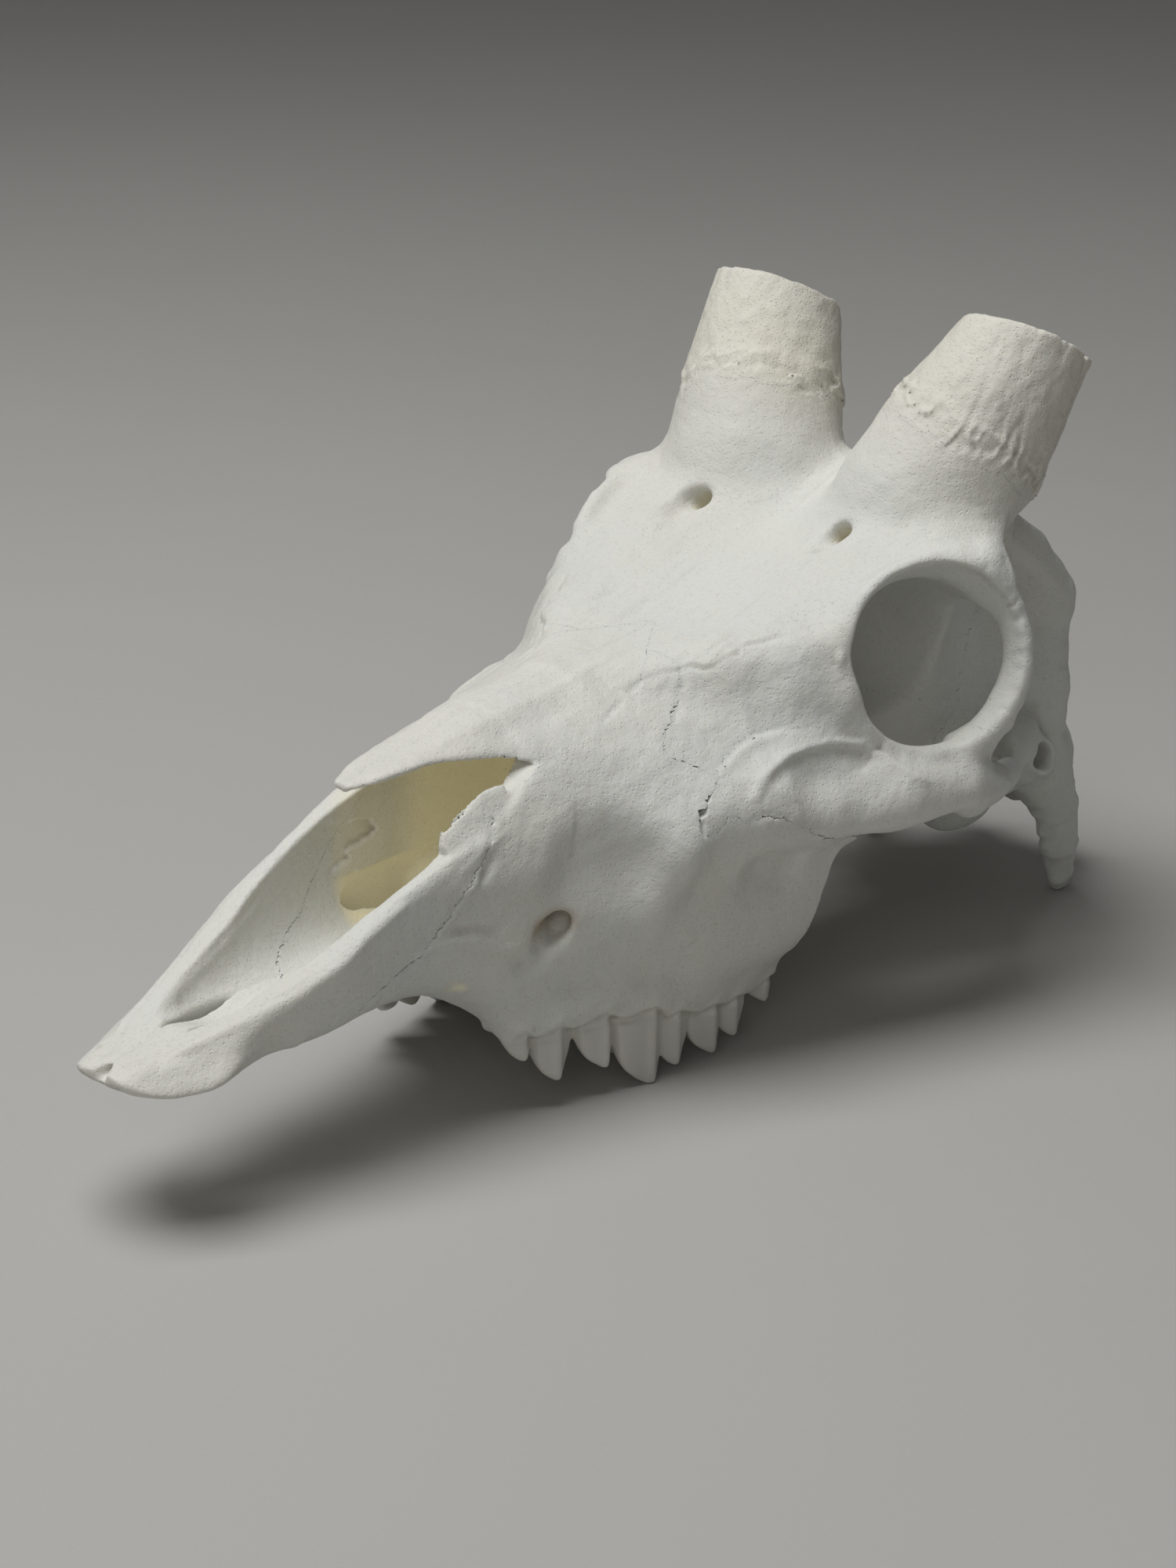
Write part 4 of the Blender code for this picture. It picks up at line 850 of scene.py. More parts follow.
# Lines of both sides along which the surface is raised, or sunk where the height is negative. Each is
# (places, height, width), and fades out at both ends.
REGION_LINES = (
    # arched crest of the cheek, the hollows below it and the faint arch in front
    (CHEEK_CREST, 1.4, 5.0),
    (CHEEK_CREST, 0.7, 1.1),
    (((42.6, 140.5, 61.9), (42.2, 144.6, 63.2), (42.3, 149.5, 64.2), (42.9, 155.0, 64.7), (44.1, 160.4,
      64.5), (46.4, 167.0, 62.9), (50.9, 169.1, 60.6), (54.5, 172.6, 57.9)), -1.2, 1.7),
    (((44.0, 142.5, 60.9), (44.5, 146.9, 61.9), (45.9, 152.7, 62.2), (47.8, 157.9, 61.6), (50.9, 163.2,
      59.9), (54.2, 168.3, 56.4), (56.3, 173.9, 52.6)), -3.0, 6.0),
    (((46.5, 144.6, 57.7), (49.0, 151.7, 57.3), (51.7, 158.6, 56.2), (54.0, 166.2, 53.2)), -1.2, 5.0),
    (((34.6, 132.8, 65.1), (34.5, 137.0, 66.6), (33.9, 142.0, 68.5), (34.1, 146.6, 69.9), (35.6, 151.1,
      70.0), (36.8, 154.6, 70.3)), -0.2, 0.7),
    (((35.8, 132.9, 64.4), (35.6, 137.2, 65.8), (35.0, 142.0, 67.6), (35.2, 146.2, 68.8), (36.5, 150.6,
      69.0), (37.4, 154.0, 69.3)), 0.35, 1.2),
    # tear bone below the eye socket
    (((29.5, 151.6, 80.7), (34.1, 156.8, 77.4), (37.9, 162.4, 74.8), (39.9, 165.6, 73.0),
      (41.5, 167.6, 69.2), (44.1, 168.8, 64.4)), 2.2, 7.5),
    # ridge that runs down from the corner of the cheek, with a hollow on each side
    (((38.9, 126.8, 57.8), (38.1, 123.3, 52.7), (35.7, 121.7, 48.0), (33.3, 118.9, 39.8), (31.7, 115.3,
      33.1)), 3.6, 4.5),
    (((24.7, 94.2, 55.8), (27.5, 100.8, 52.5), (30.2, 109.2, 53.0), (32.9, 117.6, 58.4)), -2.8, 8.0),
    (((41, 136, 44), (42, 148, 42), (42, 157, 41)), -2.5, 5.5),
    (((30, 112, 26), (34, 122, 24), (36, 134, 23)), -0.9, 4.5),
    (((37, 124.7, 27), (38, 127.6, 29.5), (38.5, 130.1, 31.4)), -0.45, 0.7),
    # step from the front suture back to the nerve opening
    (((19, 65, 41.3), (20.3, 73, 42.2), (21.6, 79, 41.6), (23.4, 85, 38.4), (24.6, 90, 37.6)), 0.6, 0.7),
    (((20.5, 72, 44.4), (22, 79, 44.0), (24, 86, 41.6)), -0.9, 1.5),
    # floor of the nerve opening running out forward
    (((25.6, 97, 36.8), (25.6, 92, 34.4), (25.4, 86, 32.0)), -1.3, 2.5),
    # crossing lines between the forehead and the tear bone
    (((14.8, 129, 77.8), (15.2, 134, 80.4), (16.5, 138, 81.3)), -0.45, 0.6),
    (((16.5, 138, 81.3), (18.6, 141, 81.2), (20, 143, 82.4), (22.5, 144.6, 81.8), (24.2, 146, 82.6),
      (24.6, 149, 84.2), (25.6, 151, 84.2), (25.6, 153, 86), (27.4, 156, 86), (29, 159, 87),
      (31, 161, 87.4)), -0.6, 0.5),
    (((16.5, 139, 81.9), (18.6, 142, 81.9), (20, 144, 83), (22.5, 145.6, 82.4), (24.2, 147, 83.2),
      (24.6, 150, 84.8), (25.6, 152, 84.8), (25.6, 154, 86.6), (27.4, 157, 86.6), (29, 160, 87.6)),
     0.3, 0.7),
    (((24.4, 133, 73.6), (23, 136.5, 75.8), (20.6, 138.6, 77.4), (20.2, 141, 79.4), (18.8, 141.6, 81)),
     -0.35, 0.5),
    (((28, 135, 73), (30, 138, 74), (31.4, 142, 75)), 0.22, 0.8),
    # vessel openings and lines of the forehead
    (((17.6, 172, 95.5), (15.2, 160, 91), (13.6, 150, 88)), -0.35, 1.5),
    (((6, 176, 92), (4.6, 160, 88), (3.4, 147, 85)), -0.16, 0.7),
    (((9.5, 170, 91.4), (8.2, 158, 88), (6.6, 148, 85.6)), 0.14, 0.6),
    # ridge along the nasal bone beside its midline
    (((3.4, 67, 73), (5.2, 84, 75.8), (6.0, 103, 79), (6.2, 122, 81.5), (4.4, 140, 83.6)), 0.3, 1.5),
    (((9.4, 92, 75.8), (10.8, 106, 77.6), (10.6, 121, 79.6)), -0.35, 2.4),
    # sharp crest along the upper edge of the front bone
    (((3, 4, 31), (3, 8, 33), (8, 16, 35), (11, 26, 38), (15, 39, 42), (17, 48, 46), (17, 53, 49),
      (18, 64, 54)), -0.42, 0.5),
    (((4.2, 9, 32.6), (9, 16.4, 34.4), (12, 26, 37.2), (16, 39, 41), (18, 48, 45), (18, 53, 48),
      (19, 64, 53)), 0.3, 0.8),
    # rough end of the front bone's upper prong, with a hollow behind it
    (((20.2, 80.5, 58.8), (20.8, 84.5, 60.8)), 0.5, 1.4),
    (((21.0, 84.5, 58.6), (21.4, 82.5, 55.6), (21.4, 79.6, 52.6)), -1.2, 1.0),
    (((20.6, 74.5, 51.5), (20.9, 78.0, 52.4), (21.3, 81.0, 54.6)), 0.45, 0.8),
    # edge of the eye socket at the tear bone
    (((39.0, 166.0, 82.8), (40.6, 167.6, 83.0)), 0.9, 1.5),
    (((40.6, 169.2, 84.8), (38.0, 171.5, 85.2)), -1.3, 0.9),
    # rough line of the temple
    (((31, 230, 97), (30, 240, 91), (31.5, 249, 84), (33.6, 256, 76)), 0.5, 1.6),
    (((33.5, 247, 76), (34.5, 250, 66), (34.4, 250, 56)), -0.8, 3.0),
)

# Lines of one side only: the groove in front of each opening of the forehead, and the inner face of the
# right front bone
LEFT_LINES = (
    (((19.6, 193.5, 101.4), (18.2, 189.5, 100.2), (17.0, 185.5, 98.6), (16.4, 182.5, 97.4)), -1.5, 2.1),
)
RIGHT_LINES = (
    (((20.2, 193.5, 101), (21.4, 189, 99.6), (22.4, 184.5, 97.8), (22.6, 182, 97)), -1.5, 2.1),
    (((5.8, 25, 36.5), (9.6, 41, 41), (12.2, 56, 46.5)), 0.3, 0.9),
    (((8.0, 30, 38.2), (11.6, 46, 44), (13.6, 60, 50.5)), -0.25, 0.9),
    (((9.0, 13, 33.2), (11.2, 20, 34.8), (12.4, 30, 37)), -0.25, 1.2),
    (((7.0, 7.0, 31.6), (7.4, 9.6, 31.2)), -1.3, 1.0),
)


def gum_line():
    """Places along the edge of the jaw bone over the cheek teeth, one scallop for each crown lobe."""
    front_end = (21.8, 90.2, 16.6)
    rear_end = (29.6, 164.0, 13.6)
    inset = 0.8
    spread = 0.75
    places = [front_end]
    for place, outer_side, tip, front, back, gum in CROWN_LOBES:
        places.append((outer_side-inset, place-spread*front, gum+0.5))
        places.append((outer_side+0.3, place, gum+1.9))
        places.append((outer_side-inset, place+spread*back, gum+0.5))
    places.append(rear_end)
    return places


# Bone that fills the rear of the nerve opening, and two short gaps in the sutures of the face
NERVE_PLUG = ((17.5, 109, 36.4), (20.0, 104.6, 35.8))
NASAL_GAP = ((16.8, 120.8, 75.4), (16.2, 124.0, 76.6), (15.2, 128.2, 77.8))
CHEEK_GAP = ((38.0, 127.6, 61), (38.8, 126.0, 57.6), (39.6, 125.4, 54.6))


def carve(form):
    """Openings, plates and lines of relief; the number after each shape is its blend width."""
    form.add(inner_lining(), 0.3)
    form.cut(lower_recess(), 0.6)
    form.add(rim_plate(), 0.5)
    gums = gum_line()
    ledge = [(x, s, z+1.7) for x, s, z in gums]
    for side in (1, -1):
        form.cut(palatine_fissure(side), 0.7)
        form.cut(roof_slit(side), 0.3)
        form.add(limb(mirrored(NERVE_PLUG, side), [7.0, 6.0]), 0.8)
        relieve(form, REGION_LINES+((ledge, 0.45, 1.1), (gums, -1.0, 0.7)), side)
        form.cut(limb(mirrored(NASAL_GAP, side), [0.3, 0.6, 0.35]), 0.5)
        form.cut(limb(mirrored(CHEEK_GAP, side), [0.15, 0.42, 0.2]), 0.5)
    relieve(form, LEFT_LINES, 1)
    relieve(form, RIGHT_LINES, -1)


def relieve(form, lines, side):
    """Raise and sink the surface along lines of a side."""
    for places, height, width in lines:
        form.relief(mirrored(places, side), height, width)


# Grain: smooth random fields over the skull

def random_field(x, s, z, size, seed):
    """Smooth random values near -1 to 1 whose bumps are about one size across."""
    count = 64
    shift = 17.3
    height = 1.5
    table = np.random.RandomState(seed).uniform(-1, 1, (count, count, count)).astype(np.float32)
    total = np.zeros(x.shape, np.float32)
    cells = []
    shares = []
    for place in (x, s, z):
        place = place/size+shift
        cell = np.floor(place).astype(np.int32)
        share = place-cell
        cells.append(cell)
        shares.append(share*share*(3-2*share))
    for i, j, k in CORNERS:
        u, v, w = corner_shares(shares, (i, j, k))
        total += u*v*w*table[(cells[0]+i) % count, (cells[1]+j) % count, (cells[2]+k) % count]
    return total*height


def corner_shares(shares, corner):
    """Weight of a cell's corner along each axis."""
    return [share if end else 1-share for share, end in zip(shares, corner)]


def horn_place(x, s, z):
    """Height along the horn core's axis over its burr, the distance from the axis and the turn round it."""
    offset = from_point(BURR, np.abs(x), s, z)
    height = dot(HORN_AXIS, offset)
    rest = [offset[k]-height*HORN_AXIS[k] for k in range(3)]
    away = np.sqrt(dot(rest, rest))
    across = unit(np.cross(HORN_AXIS, (0, 0, 1)))
    other = np.cross(HORN_AXIS, across)
    return height, away, np.arctan2(dot(other, rest), dot(across, rest))


def rim_place(x, s, z):
    """Distance from the circle along the top of the orbit's rim, and the turn round it."""
    rim_top = 0.6
    out, back, up = rim_axes(np.abs(x), s, z)
    radius = np.sqrt(back*back+up*up)
    return np.hypot(radius-RIM_RADIUS-rim_top, out), np.arctan2(up, back)


# Layers of random bumps all over the skull: height, size and seed
GRAIN = ((0.28, 17, 1), (0.17, 7, 2), (0.07, 2.6, 3))
# Radius of a horn core over its burr, place and half width of the burr, half width of the orbit's rough rim
HORN_RADIUS = curve((0, 18.3), (34, 12.9))
BURR_MIDDLE = 1.4
BURR_SPREAD = 3.0
RIM_SPREAD = 1.5


def roughness_of(x, s, z):
    """How far the surface stands above the smooth form at each place."""
    height = sum(amount*random_field(x, s, z, size, seed) for amount, size, seed in GRAIN)
    low = 1-ramp(z, 12, 19)
    height *= 1-0.85*low*ramp(s, 84, 90)*(1-ramp(s, 166, 172))
    add_horn_grain(height, x, s, z)
    add_rear_grain(height, x, s, z)
    add_forehead_grain(height, x, s, z)
    add_rim_grain(height, x, s, z)
    return height


def add_horn_grain(height, x, s, z):
    """Wrinkled burrs, grooves along the horn cores and pores on their sawn faces."""
    side = np.sign(x)
    level, away, turn = horn_place(x, s, z)
    on_horn = ramp(level, -9, -4)*(1-ramp(away, 22, 25))*ramp(s, 190, 196)
    wave = 1.3*np.sin(3*turn+side)+0.7*np.sin(7*turn+2)
    round_place = turn*away
    band = on_horn*np.exp(-((level-BURR_MIDDLE-wave)/BURR_SPREAD)**2)
    wrinkle = 1-np.minimum(1, 2.4*np.abs(random_field(round_place, level*0.75, side*9, 2.5, 5)))
    fine = random_field(round_place, level*0.7, side*5, 1.25, 13)
    height += band*(0.95*wrinkle-0.4+0.3*fine)
    outside = ramp(away-HORN_RADIUS(level), -2.4, -1.2)
    sawn_face = on_horn*ramp(level, 14, 18)*(1-outside)
    height -= sawn_face*0.35*np.maximum(0, random_field(x, s, z, 1.5, 8))
    shaft = on_horn*ramp(level, 0, 4)*outside
    outer_side = 0.25+0.75*ramp(np.cos(turn-1.2), -0.2, 0.8)
    lengthwise = random_field(round_place+0.25*level, level*0.13, side*7, 2.6, 6)
    groove = np.maximum(0, 1-3.2*np.abs(lengthwise))
    height -= shaft*0.55*groove*outer_side
    height += shaft*0.13*random_field(round_place, level*0.5, side*3, 1.3, 7)


def add_rear_grain(height, x, s, z):
    """Coarse bumps on the back of the braincase and finer ones on its underside."""
    rough = ramp(s, 246, 262)
    height += rough*(0.30*random_field(x, s, z, 4.4, 8)+0.13*random_field(x, s, z, 1.7, 9))
    under = ramp(s, 214, 236)*(1-ramp(z, 40, 55))
    height += under*0.2*random_field(x, s, z, 3.0, 10)


def add_forehead_grain(height, x, s, z):
    """Fine lines that run along the nasal bones and the forehead."""
    top = ramp(z, 74, 80)*ramp(s, 118, 130)*(1-ramp(s, 182, 196))*(1-ramp(np.abs(x), 24, 32))
    height += top*0.11*random_field(x*1.1, s*0.12, z*0.5, 1.15, 11)


def add_rim_grain(height, x, s, z):
    """Small nicks in the rear edge of the orbit's rim, and dents along its top, mostly on the right."""
    side = np.sign(x)
    away, turn = rim_place(x, s, z)
    edge = np.exp(-(away/RIM_SPREAD)**2)
    nicks = np.minimum(0, random_field(turn*RIM_RADIUS, 5+side, 0*z, 1.15, 12)-0.05)
    height += edge*0.6*nicks*ramp(np.cos(turn-0.1), 0.3, 0.6)
    dents = random_field(turn*RIM_RADIUS, 9+side, 0*z, 4.2, 14)
    height += edge*(0.55-0.45*side)*dents*ramp(np.sin(turn+0.3), -0.2, 0.4)


def near_surface(form):
    """Grid places near the surface, a share at a time, with their coordinates."""
    reach = 1.8
    share = 400000
    near = np.nonzero(np.abs(form.values) < reach)
    for first in range(0, len(near[0]), share):
        here = tuple(index[first:first+share] for index in near)
        yield here, [form.axes[k][here[k]] for k in range(3)]


def roughen(form):
    """Give the form its grain, near its surface only."""
    for here, (x, s, z) in near_surface(form):
        form.values[here] -= roughness_of(x, s, z)


# Sutures: lines that part the bones, as heights or places along the skull

PREMAXILLARY = curve((24, 44), (28, 49), (35, 54.5), (38, 60), (41, 66.5), (44, 69.5), (47.5, 73),
                     (52, 76.5), (57, 81.5), (63, 87))
LACRIMAL_FRONT = curve((44, 128), (53, 125.6), (58, 125.4), (61, 128), (65, 133), (67, 130), (69, 127.4),
                       (72, 129.6), (74, 133.6), (76, 137.6), (80, 140.6), (84, 142), (110, 148))
FRONTAL_LOWER = curve((120, 55), (126, 58), (131, 63), (136, 66), (143, 69), (151, 70.6), (165, 70),
                      (185, 67.5), (200, 64), (215, 61))
CHEEK_LOWER = curve((118, 52), (126, 55), (129, 55.4), (131, 58), (133, 58.2), (135, 56.4), (138, 57.2),
                    (143, 56), (146, 54.4), (152, 50.6), (162, 47), (178, 43), (212, 35))
NASAL_HALF = curve((50, 17.6), (110, 17.4), (117, 17.0), (124, 16.1), (130, 15.1), (134, 14.4),
                   (138, 12.4), (143, 8.6), (148, 5.0), (152, 2.2), (155, 0.2), (158, -3))
NASAL_UNDER = curve((50, 64), (98, 68.4), (121, 68.4), (129, 75.4), (170, 80))
PREMAXILLA_TOP = 64
PALATINE_FRONT = 152
PALATINE_HALF = 15.5
SHELF_OVERLAP = 2
HORN_CUT_BELOW_BURR = 2.5
HORN_CUT_RADIUS = 23
# Suture between forehead and braincase: its foot, the foot's height, its lean and the lean's cosine
CORONAL_FOOT = 214
CORONAL_FOOT_HEIGHT = 36
CORONAL_LEAN = 0.348
CORONAL_COSINE = 0.95
# Middle part of the skull, inside the cheeks: a place along it, its half width there and how fast it widens
MIDDLE_FRONT = 126
MIDDLE_HALF = 18
MIDDLE_SPREAD = 0.17
# Waves of a crooked suture: height, how fast it turns along each coordinate, and where it starts
SUTURE_WAVES = ((0.5, 1.9, 0.8, 0.0), (0.38, 3.7, -1.9, 1.0), (0.22, 7.1, 1.3, 2.0))


def wiggle(a, b, size):
    """Crooked offset of a suture at a place, the same for the bones on both its sides."""
    return size*sum(height*np.sin(p*a+q*b+start) for height, p, q, start in SUTURE_WAVES)


def behind_premaxilla(s, z):
    """Above zero behind the suture at the rear of the front bone."""
    return s-PREMAXILLARY(z)-wiggle(z, 0, 0.5)


def behind_upper_jaw(s, z):
    """Above zero behind the suture at the rear of the upper jaw's face."""
    return s-LACRIMAL_FRONT(z)-wiggle(z, 0.3*s, 0.5)


def above_cheek(s, z):
    """Above zero over the suture along the top of the cheek bone."""
    return z-FRONTAL_LOWER(s)-wiggle(s, 0.3*z, 0.4)


def above_jaw(s, z):
    """Above zero over the suture between the cheek bone and the jaw below it."""
    return z-CHEEK_LOWER(s)-wiggle(s, 0.3*z, 0.45)


def behind_forehead(s, z):
    """Above zero behind the leaning suture between the forehead and the braincase."""
    lean = CORONAL_LEAN*(z-CORONAL_FOOT_HEIGHT)
    return (s-CORONAL_FOOT-lean-wiggle(z, 0.3*s, 0.9))*CORONAL_COSINE


def outside_middle(x, s):
    """Above zero on the outer side of the skull's middle part."""
    return np.abs(x)-(MIDDLE_HALF+MIDDLE_SPREAD*(s-MIDDLE_FRONT))


def nasal_region(x, s, z):
    """Below zero inside the pair of nasal bones."""
    return np.maximum(NASAL_UNDER(s)-z, np.abs(x)-NASAL_HALF(s)-wiggle(s, 0*x, 0.35))


def horn_region(x, s, z):
    """Below zero inside a horn core."""
    height, away, turn = horn_place(x, s, z)
    jag = 0.5*np.sin(5*turn+1)+0.35*np.sin(11*turn)+0.2*np.sin(23*turn)
    return np.maximum(away-HORN_CUT_RADIUS, np.maximum(-HORN_CUT_BELOW_BURR-height+jag, 150-s))


def throat_region(x, s, z):
    """Below zero inside the middle bone where it reaches under the line of the cheek."""
    return np.maximum(np.abs(x)-PALATINE_HALF, PALATINE_FRONT-s)


def under_roof(x, s, z):
    """Above zero where neither a nasal bone nor a horn core is."""
    return np.minimum(nasal_region(x, s, z), horn_region(x, s, z))


def jaw_walls(x, s, z):
    """Walls of the upper jaw's room."""
    ahead = np.minimum(behind_upper_jaw(s, z), above_jaw(s, z)+0*x)
    in_premaxilla = np.minimum(-behind_premaxilla(s, z), PREMAXILLA_TOP-z)
    return [ahead, -throat_region(x, s, z), -under_roof(x, s, z), behind_forehead(s, z), in_premaxilla]


def middle_walls(base, x, s, z):
    """Walls of the room of a bone that lies between the upper jaw and the braincase."""
    walls = [behind_forehead(s, z), -behind_upper_jaw(s, z)]
    if base == "frontal":
        return walls+[-above_cheek(s, z), -under_roof(x, s, z)]
    if base == "zygomatic":
        return walls+[above_cheek(s, z), -above_jaw(s, z), -outside_middle(x, s)]
    low_part = np.maximum(throat_region(x, s, z), above_jaw(s, z)-SHELF_OVERLAP)
    high_part = np.maximum(-above_jaw(s, z), outside_middle(x, s))
    return walls+[above_cheek(s, z), np.minimum(low_part, high_part)]


def room_of(base, x, s, z):
    """Signed distance to the room of a bone and its mirror image, below zero inside."""
    if base == "horn_core":
        walls = [horn_region(x, s, z)]
    elif base == "nasal":
        walls = [nasal_region(x, s, z)]
    elif base == "premaxilla":
        walls = [behind_premaxilla(s, z), z-PREMAXILLA_TOP]
    elif base == "braincase":
        walls = [-behind_forehead(s, z), -horn_region(x, s, z)]
    elif base == "maxilla":
        walls = jaw_walls(x, s, z)
    else:
        walls = middle_walls(base, x, s, z)
    room = walls[0]
    for wall in walls[1:]:
        room = np.maximum(room, wall)
    return room+0*x


BONES = ("horn_core", "nasal", "premaxilla", "braincase", "frontal", "zygomatic",
         "palatine_sphenoid", "maxilla")
# How open the suture between two bones is, from 0 to 1; those left out are closed
OPEN_SUTURES = {
    ("maxilla", "premaxilla"): 0.8,
    ("maxilla", "zygomatic"): 0.95,
    ("frontal", "maxilla"): 0.55,
    ("maxilla", "nasal"): 0.35,
    ("maxilla", "palatine_sphenoid"): 0.6,
    ("braincase", "palatine_sphenoid"): 0.4,
    ("braincase", "zygomatic"): 0.7,
}
# The same for the sutures between left and right bones
OPEN_MIDDLES = {"nasal": 0.12, "premaxilla": 0.6, "maxilla": 0.7}
# Depth and half width of a sunk suture, height and width of the ledge beside it, overlap of closed bones
SUTURE_DEPTH = 0.30
SUTURE_SLOPE = 0.6
SUTURE_LEDGE = 0.34
LEDGE_WIDTH = 1.6
SUTURE_OVERLAP = 0.10
# Half width of the nose's hollow: inside it the front bone's suture is all but closed
INNER_WALL = curve((20, 9), (44, 14), (60, 16), (75, 17.6), (90, 18.4))
CLOSED_SHARE = 0.12


def borders(order, first, second):
    """Where the two nearest bones are the two named ones."""
    pair = (BONES.index(first), BONES.index(second))
    return ((order[0] == pair[0]) & (order[1] == pair[1])) | ((order[0] == pair[1]) & (order[1] == pair[0]))


def suture_tables():
    """How open the suture is between each two bones, and between each bone and its mirror image."""
    between = np.zeros((len(BONES), len(BONES)))
    for (first, second), strength in OPEN_SUTURES.items():
        i = BONES.index(first)
        j = BONES.index(second)
        between[i, j] = between[j, i] = strength
    return between, np.array([OPEN_MIDDLES.get(name, 0.0) for name in BONES])


def suture_fade(order, x, s, z):
    """Share of a suture's depth that is left at each place, from 0 to 1."""
    fade = np.clip(0.62+0.8*random_field(x, s, z, 7.5, 21), 0.0, 1.0)
    inside = borders(order, "maxilla", "premaxilla") & (np.abs(x) < INNER_WALL(s))
    fade = np.where(inside, CLOSED_SHARE, fade)
    fade = np.where(borders(order, "maxilla", "nasal"), fade*(1-ramp(s, 126, 131)), fade)
    return np.where(borders(order, "frontal", "maxilla"), fade*(1-0.4*ramp(z, 66, 70)), fade)


def open_sutures(form):
    """Sink the sutures into the form; the result is half the width of their cracks on the grid."""
    between, middles = suture_tables()
    crack = np.zeros(form.values.shape, np.float32)
    for here, (x, s, z) in near_surface(form):
        rooms = np.stack([room_of(name, x, s, z) for name in BONES])
        order = np.argsort(rooms, 0)
        lane = np.arange(len(x))
        away = 0.5*(rooms[order[1], lane]-rooms[order[0], lane])
        at_middle = (np.abs(x) < away) & (middles[order[0]] > 0)
        strength = np.where(at_middle, middles[order[0]], between[order[0], order[1]])
        strength = strength*suture_fade(order, x, s, z)
        away = np.where(at_middle, np.abs(x), away)
        ledge = np.where(order[0] > order[1], SUTURE_LEDGE, 0)*strength*(1-at_middle)
        opening = ramp(strength, 0.42, 0.72)
        crack[here] = 0.5*SUTURE*strength*opening-SUTURE_OVERLAP*(1-opening)
        form.values[here] += SUTURE_DEPTH*strength*np.exp(-(away/SUTURE_SLOPE)**2)
        form.values[here] -= ledge*np.exp(-(away/LEDGE_WIDTH)**2)
    return crack


# Meshes

def skin_of(values, low, step):
    """Closed quad skin of a grid, one point in each cell that the surface crosses."""
    inside = values < 0
    cells = tuple(n-1 for n in values.shape)
    filled = np.zeros(cells, np.int8)
    for i, j, k in CORNERS:
        filled += inside[i:i+cells[0], j:j+cells[1], k:k+cells[2]]
    place = np.argwhere((filled > 0) & (filled < 8))
    number = np.full(cells, -1, np.int32)
    number[tuple(place.T)] = np.arange(len(place))
    at_corner = np.stack([values[place[:, 0]+i, place[:, 1]+j, place[:, 2]+k] for i, j, k in CORNERS], 1)
    total = np.zeros((len(place), 3))
    count = np.zeros(len(place))
    for a in range(8):
        for b in range(a+1, 8):
            edge = np.array(CORNERS[b])-np.array(CORNERS[a])
            if np.abs(edge).sum() != 1:
                continue
            crossing = (at_corner[:, a] < 0) != (at_corner[:, b] < 0)
            start = at_corner[crossing, a]
            share = start/(start-at_corner[crossing, b])
            total[crossing] += np.array(CORNERS[a])+share[:, None]*edge
            count[crossing] += 1
    points = low+step*(place+total/count[:, None])
    return points, np.concatenate([faces_across(inside, number, k) for k in range(3)])


def faces_across(inside, number, k):
    """Quads round each grid edge along axis k that the surface crosses."""
    before = [slice(1, -1)]*3
    after = [slice(1, -1)]*3
    before[k] = slice(0, -1)
    after[k] = slice(1, None)
    first = inside[tuple(before)]
    second = inside[tuple(after)]
    shift = np.array([1, 1, 1])
    shift[k] = 0
    edge = np.argwhere(first != second)+shift
    backward = ~first[first != second]
    u = (k+1) % 3
    v = (k+2) % 3
    ring = []
    for du, dv in ((-1, -1), (0, -1), (0, 0), (-1, 0)):
        cell = edge.copy()
        cell[:, u] += du
        cell[:, v] += dv
        ring.append(number[cell[:, 0], cell[:, 1], cell[:, 2]])
    quads = np.stack(ring, 1)
    quads[backward] = quads[backward][:, ::-1]
    return quads


def averaged(points, quads):
    """Mean of the neighbours of each point."""
    count = len(points)
    total = np.zeros((count, 3))
    weight = np.zeros(count)
    for a, b in ((0, 1), (1, 2), (2, 3), (3, 0)):
        for first, second in ((quads[:, a], quads[:, b]), (quads[:, b], quads[:, a])):
            weight += np.bincount(first, minlength=count)
            for k in range(3):
                total[:, k] += np.bincount(first, points[second, k], minlength=count)
    return total/np.maximum(weight, 1)[:, None]


def sampled(values, low, step, points):
    """Values of a grid and their slopes at free places."""
    place = (points-low)/step
    cell = np.clip(np.floor(place).astype(int), 0, np.array(values.shape)-2)
    share = place-cell
    level = np.zeros(len(points))
    slope = np.zeros((len(points), 3))
    for i, j, k in CORNERS:
        value = values[cell[:, 0]+i, cell[:, 1]+j, cell[:, 2]+k]
        u, v, w = corner_shares(share.T, (i, j, k))
        level += u*v*w*value
        slope[:, 0] += (2*i-1)*v*w*value
        slope[:, 1] += (2*j-1)*u*w*value
        slope[:, 2] += (2*k-1)*u*v*value
    return level, slope/step


def moved_onto(points, values, low, step):
    """Points moved onto the zero level of a grid."""
    level, slope = sampled(values, low, step, points)
    size = np.maximum((slope*slope).sum(1), 0.2)
    move = np.clip(level/size, -0.5*step, 0.5*step)
    return points-move[:, None]*slope


def settled(points, whole, room, low, step):
    """Points moved onto the skin, and onto the sharp edge where a bone's skin meets its suture."""
    at_skin = sampled(whole, low, step, points)[0]
    at_room = sampled(room, low, step, points)[0]
    near = 0.62*step
    on_edge = (np.abs(at_skin) < near) & (np.abs(at_room) < near)
    on_wall = ~on_edge & (at_room > at_skin)
    on_skin = ~on_edge & ~on_wall
    for attempt in range(3):
        points[on_wall] = moved_onto(points[on_wall], room, low, step)
        points[on_edge] = moved_onto(points[on_edge], room, low, step)
        points[on_edge] = moved_onto(points[on_edge], whole, low, step)
        points[on_skin] = moved_onto(points[on_skin], whole, low, step)
    return points, on_skin


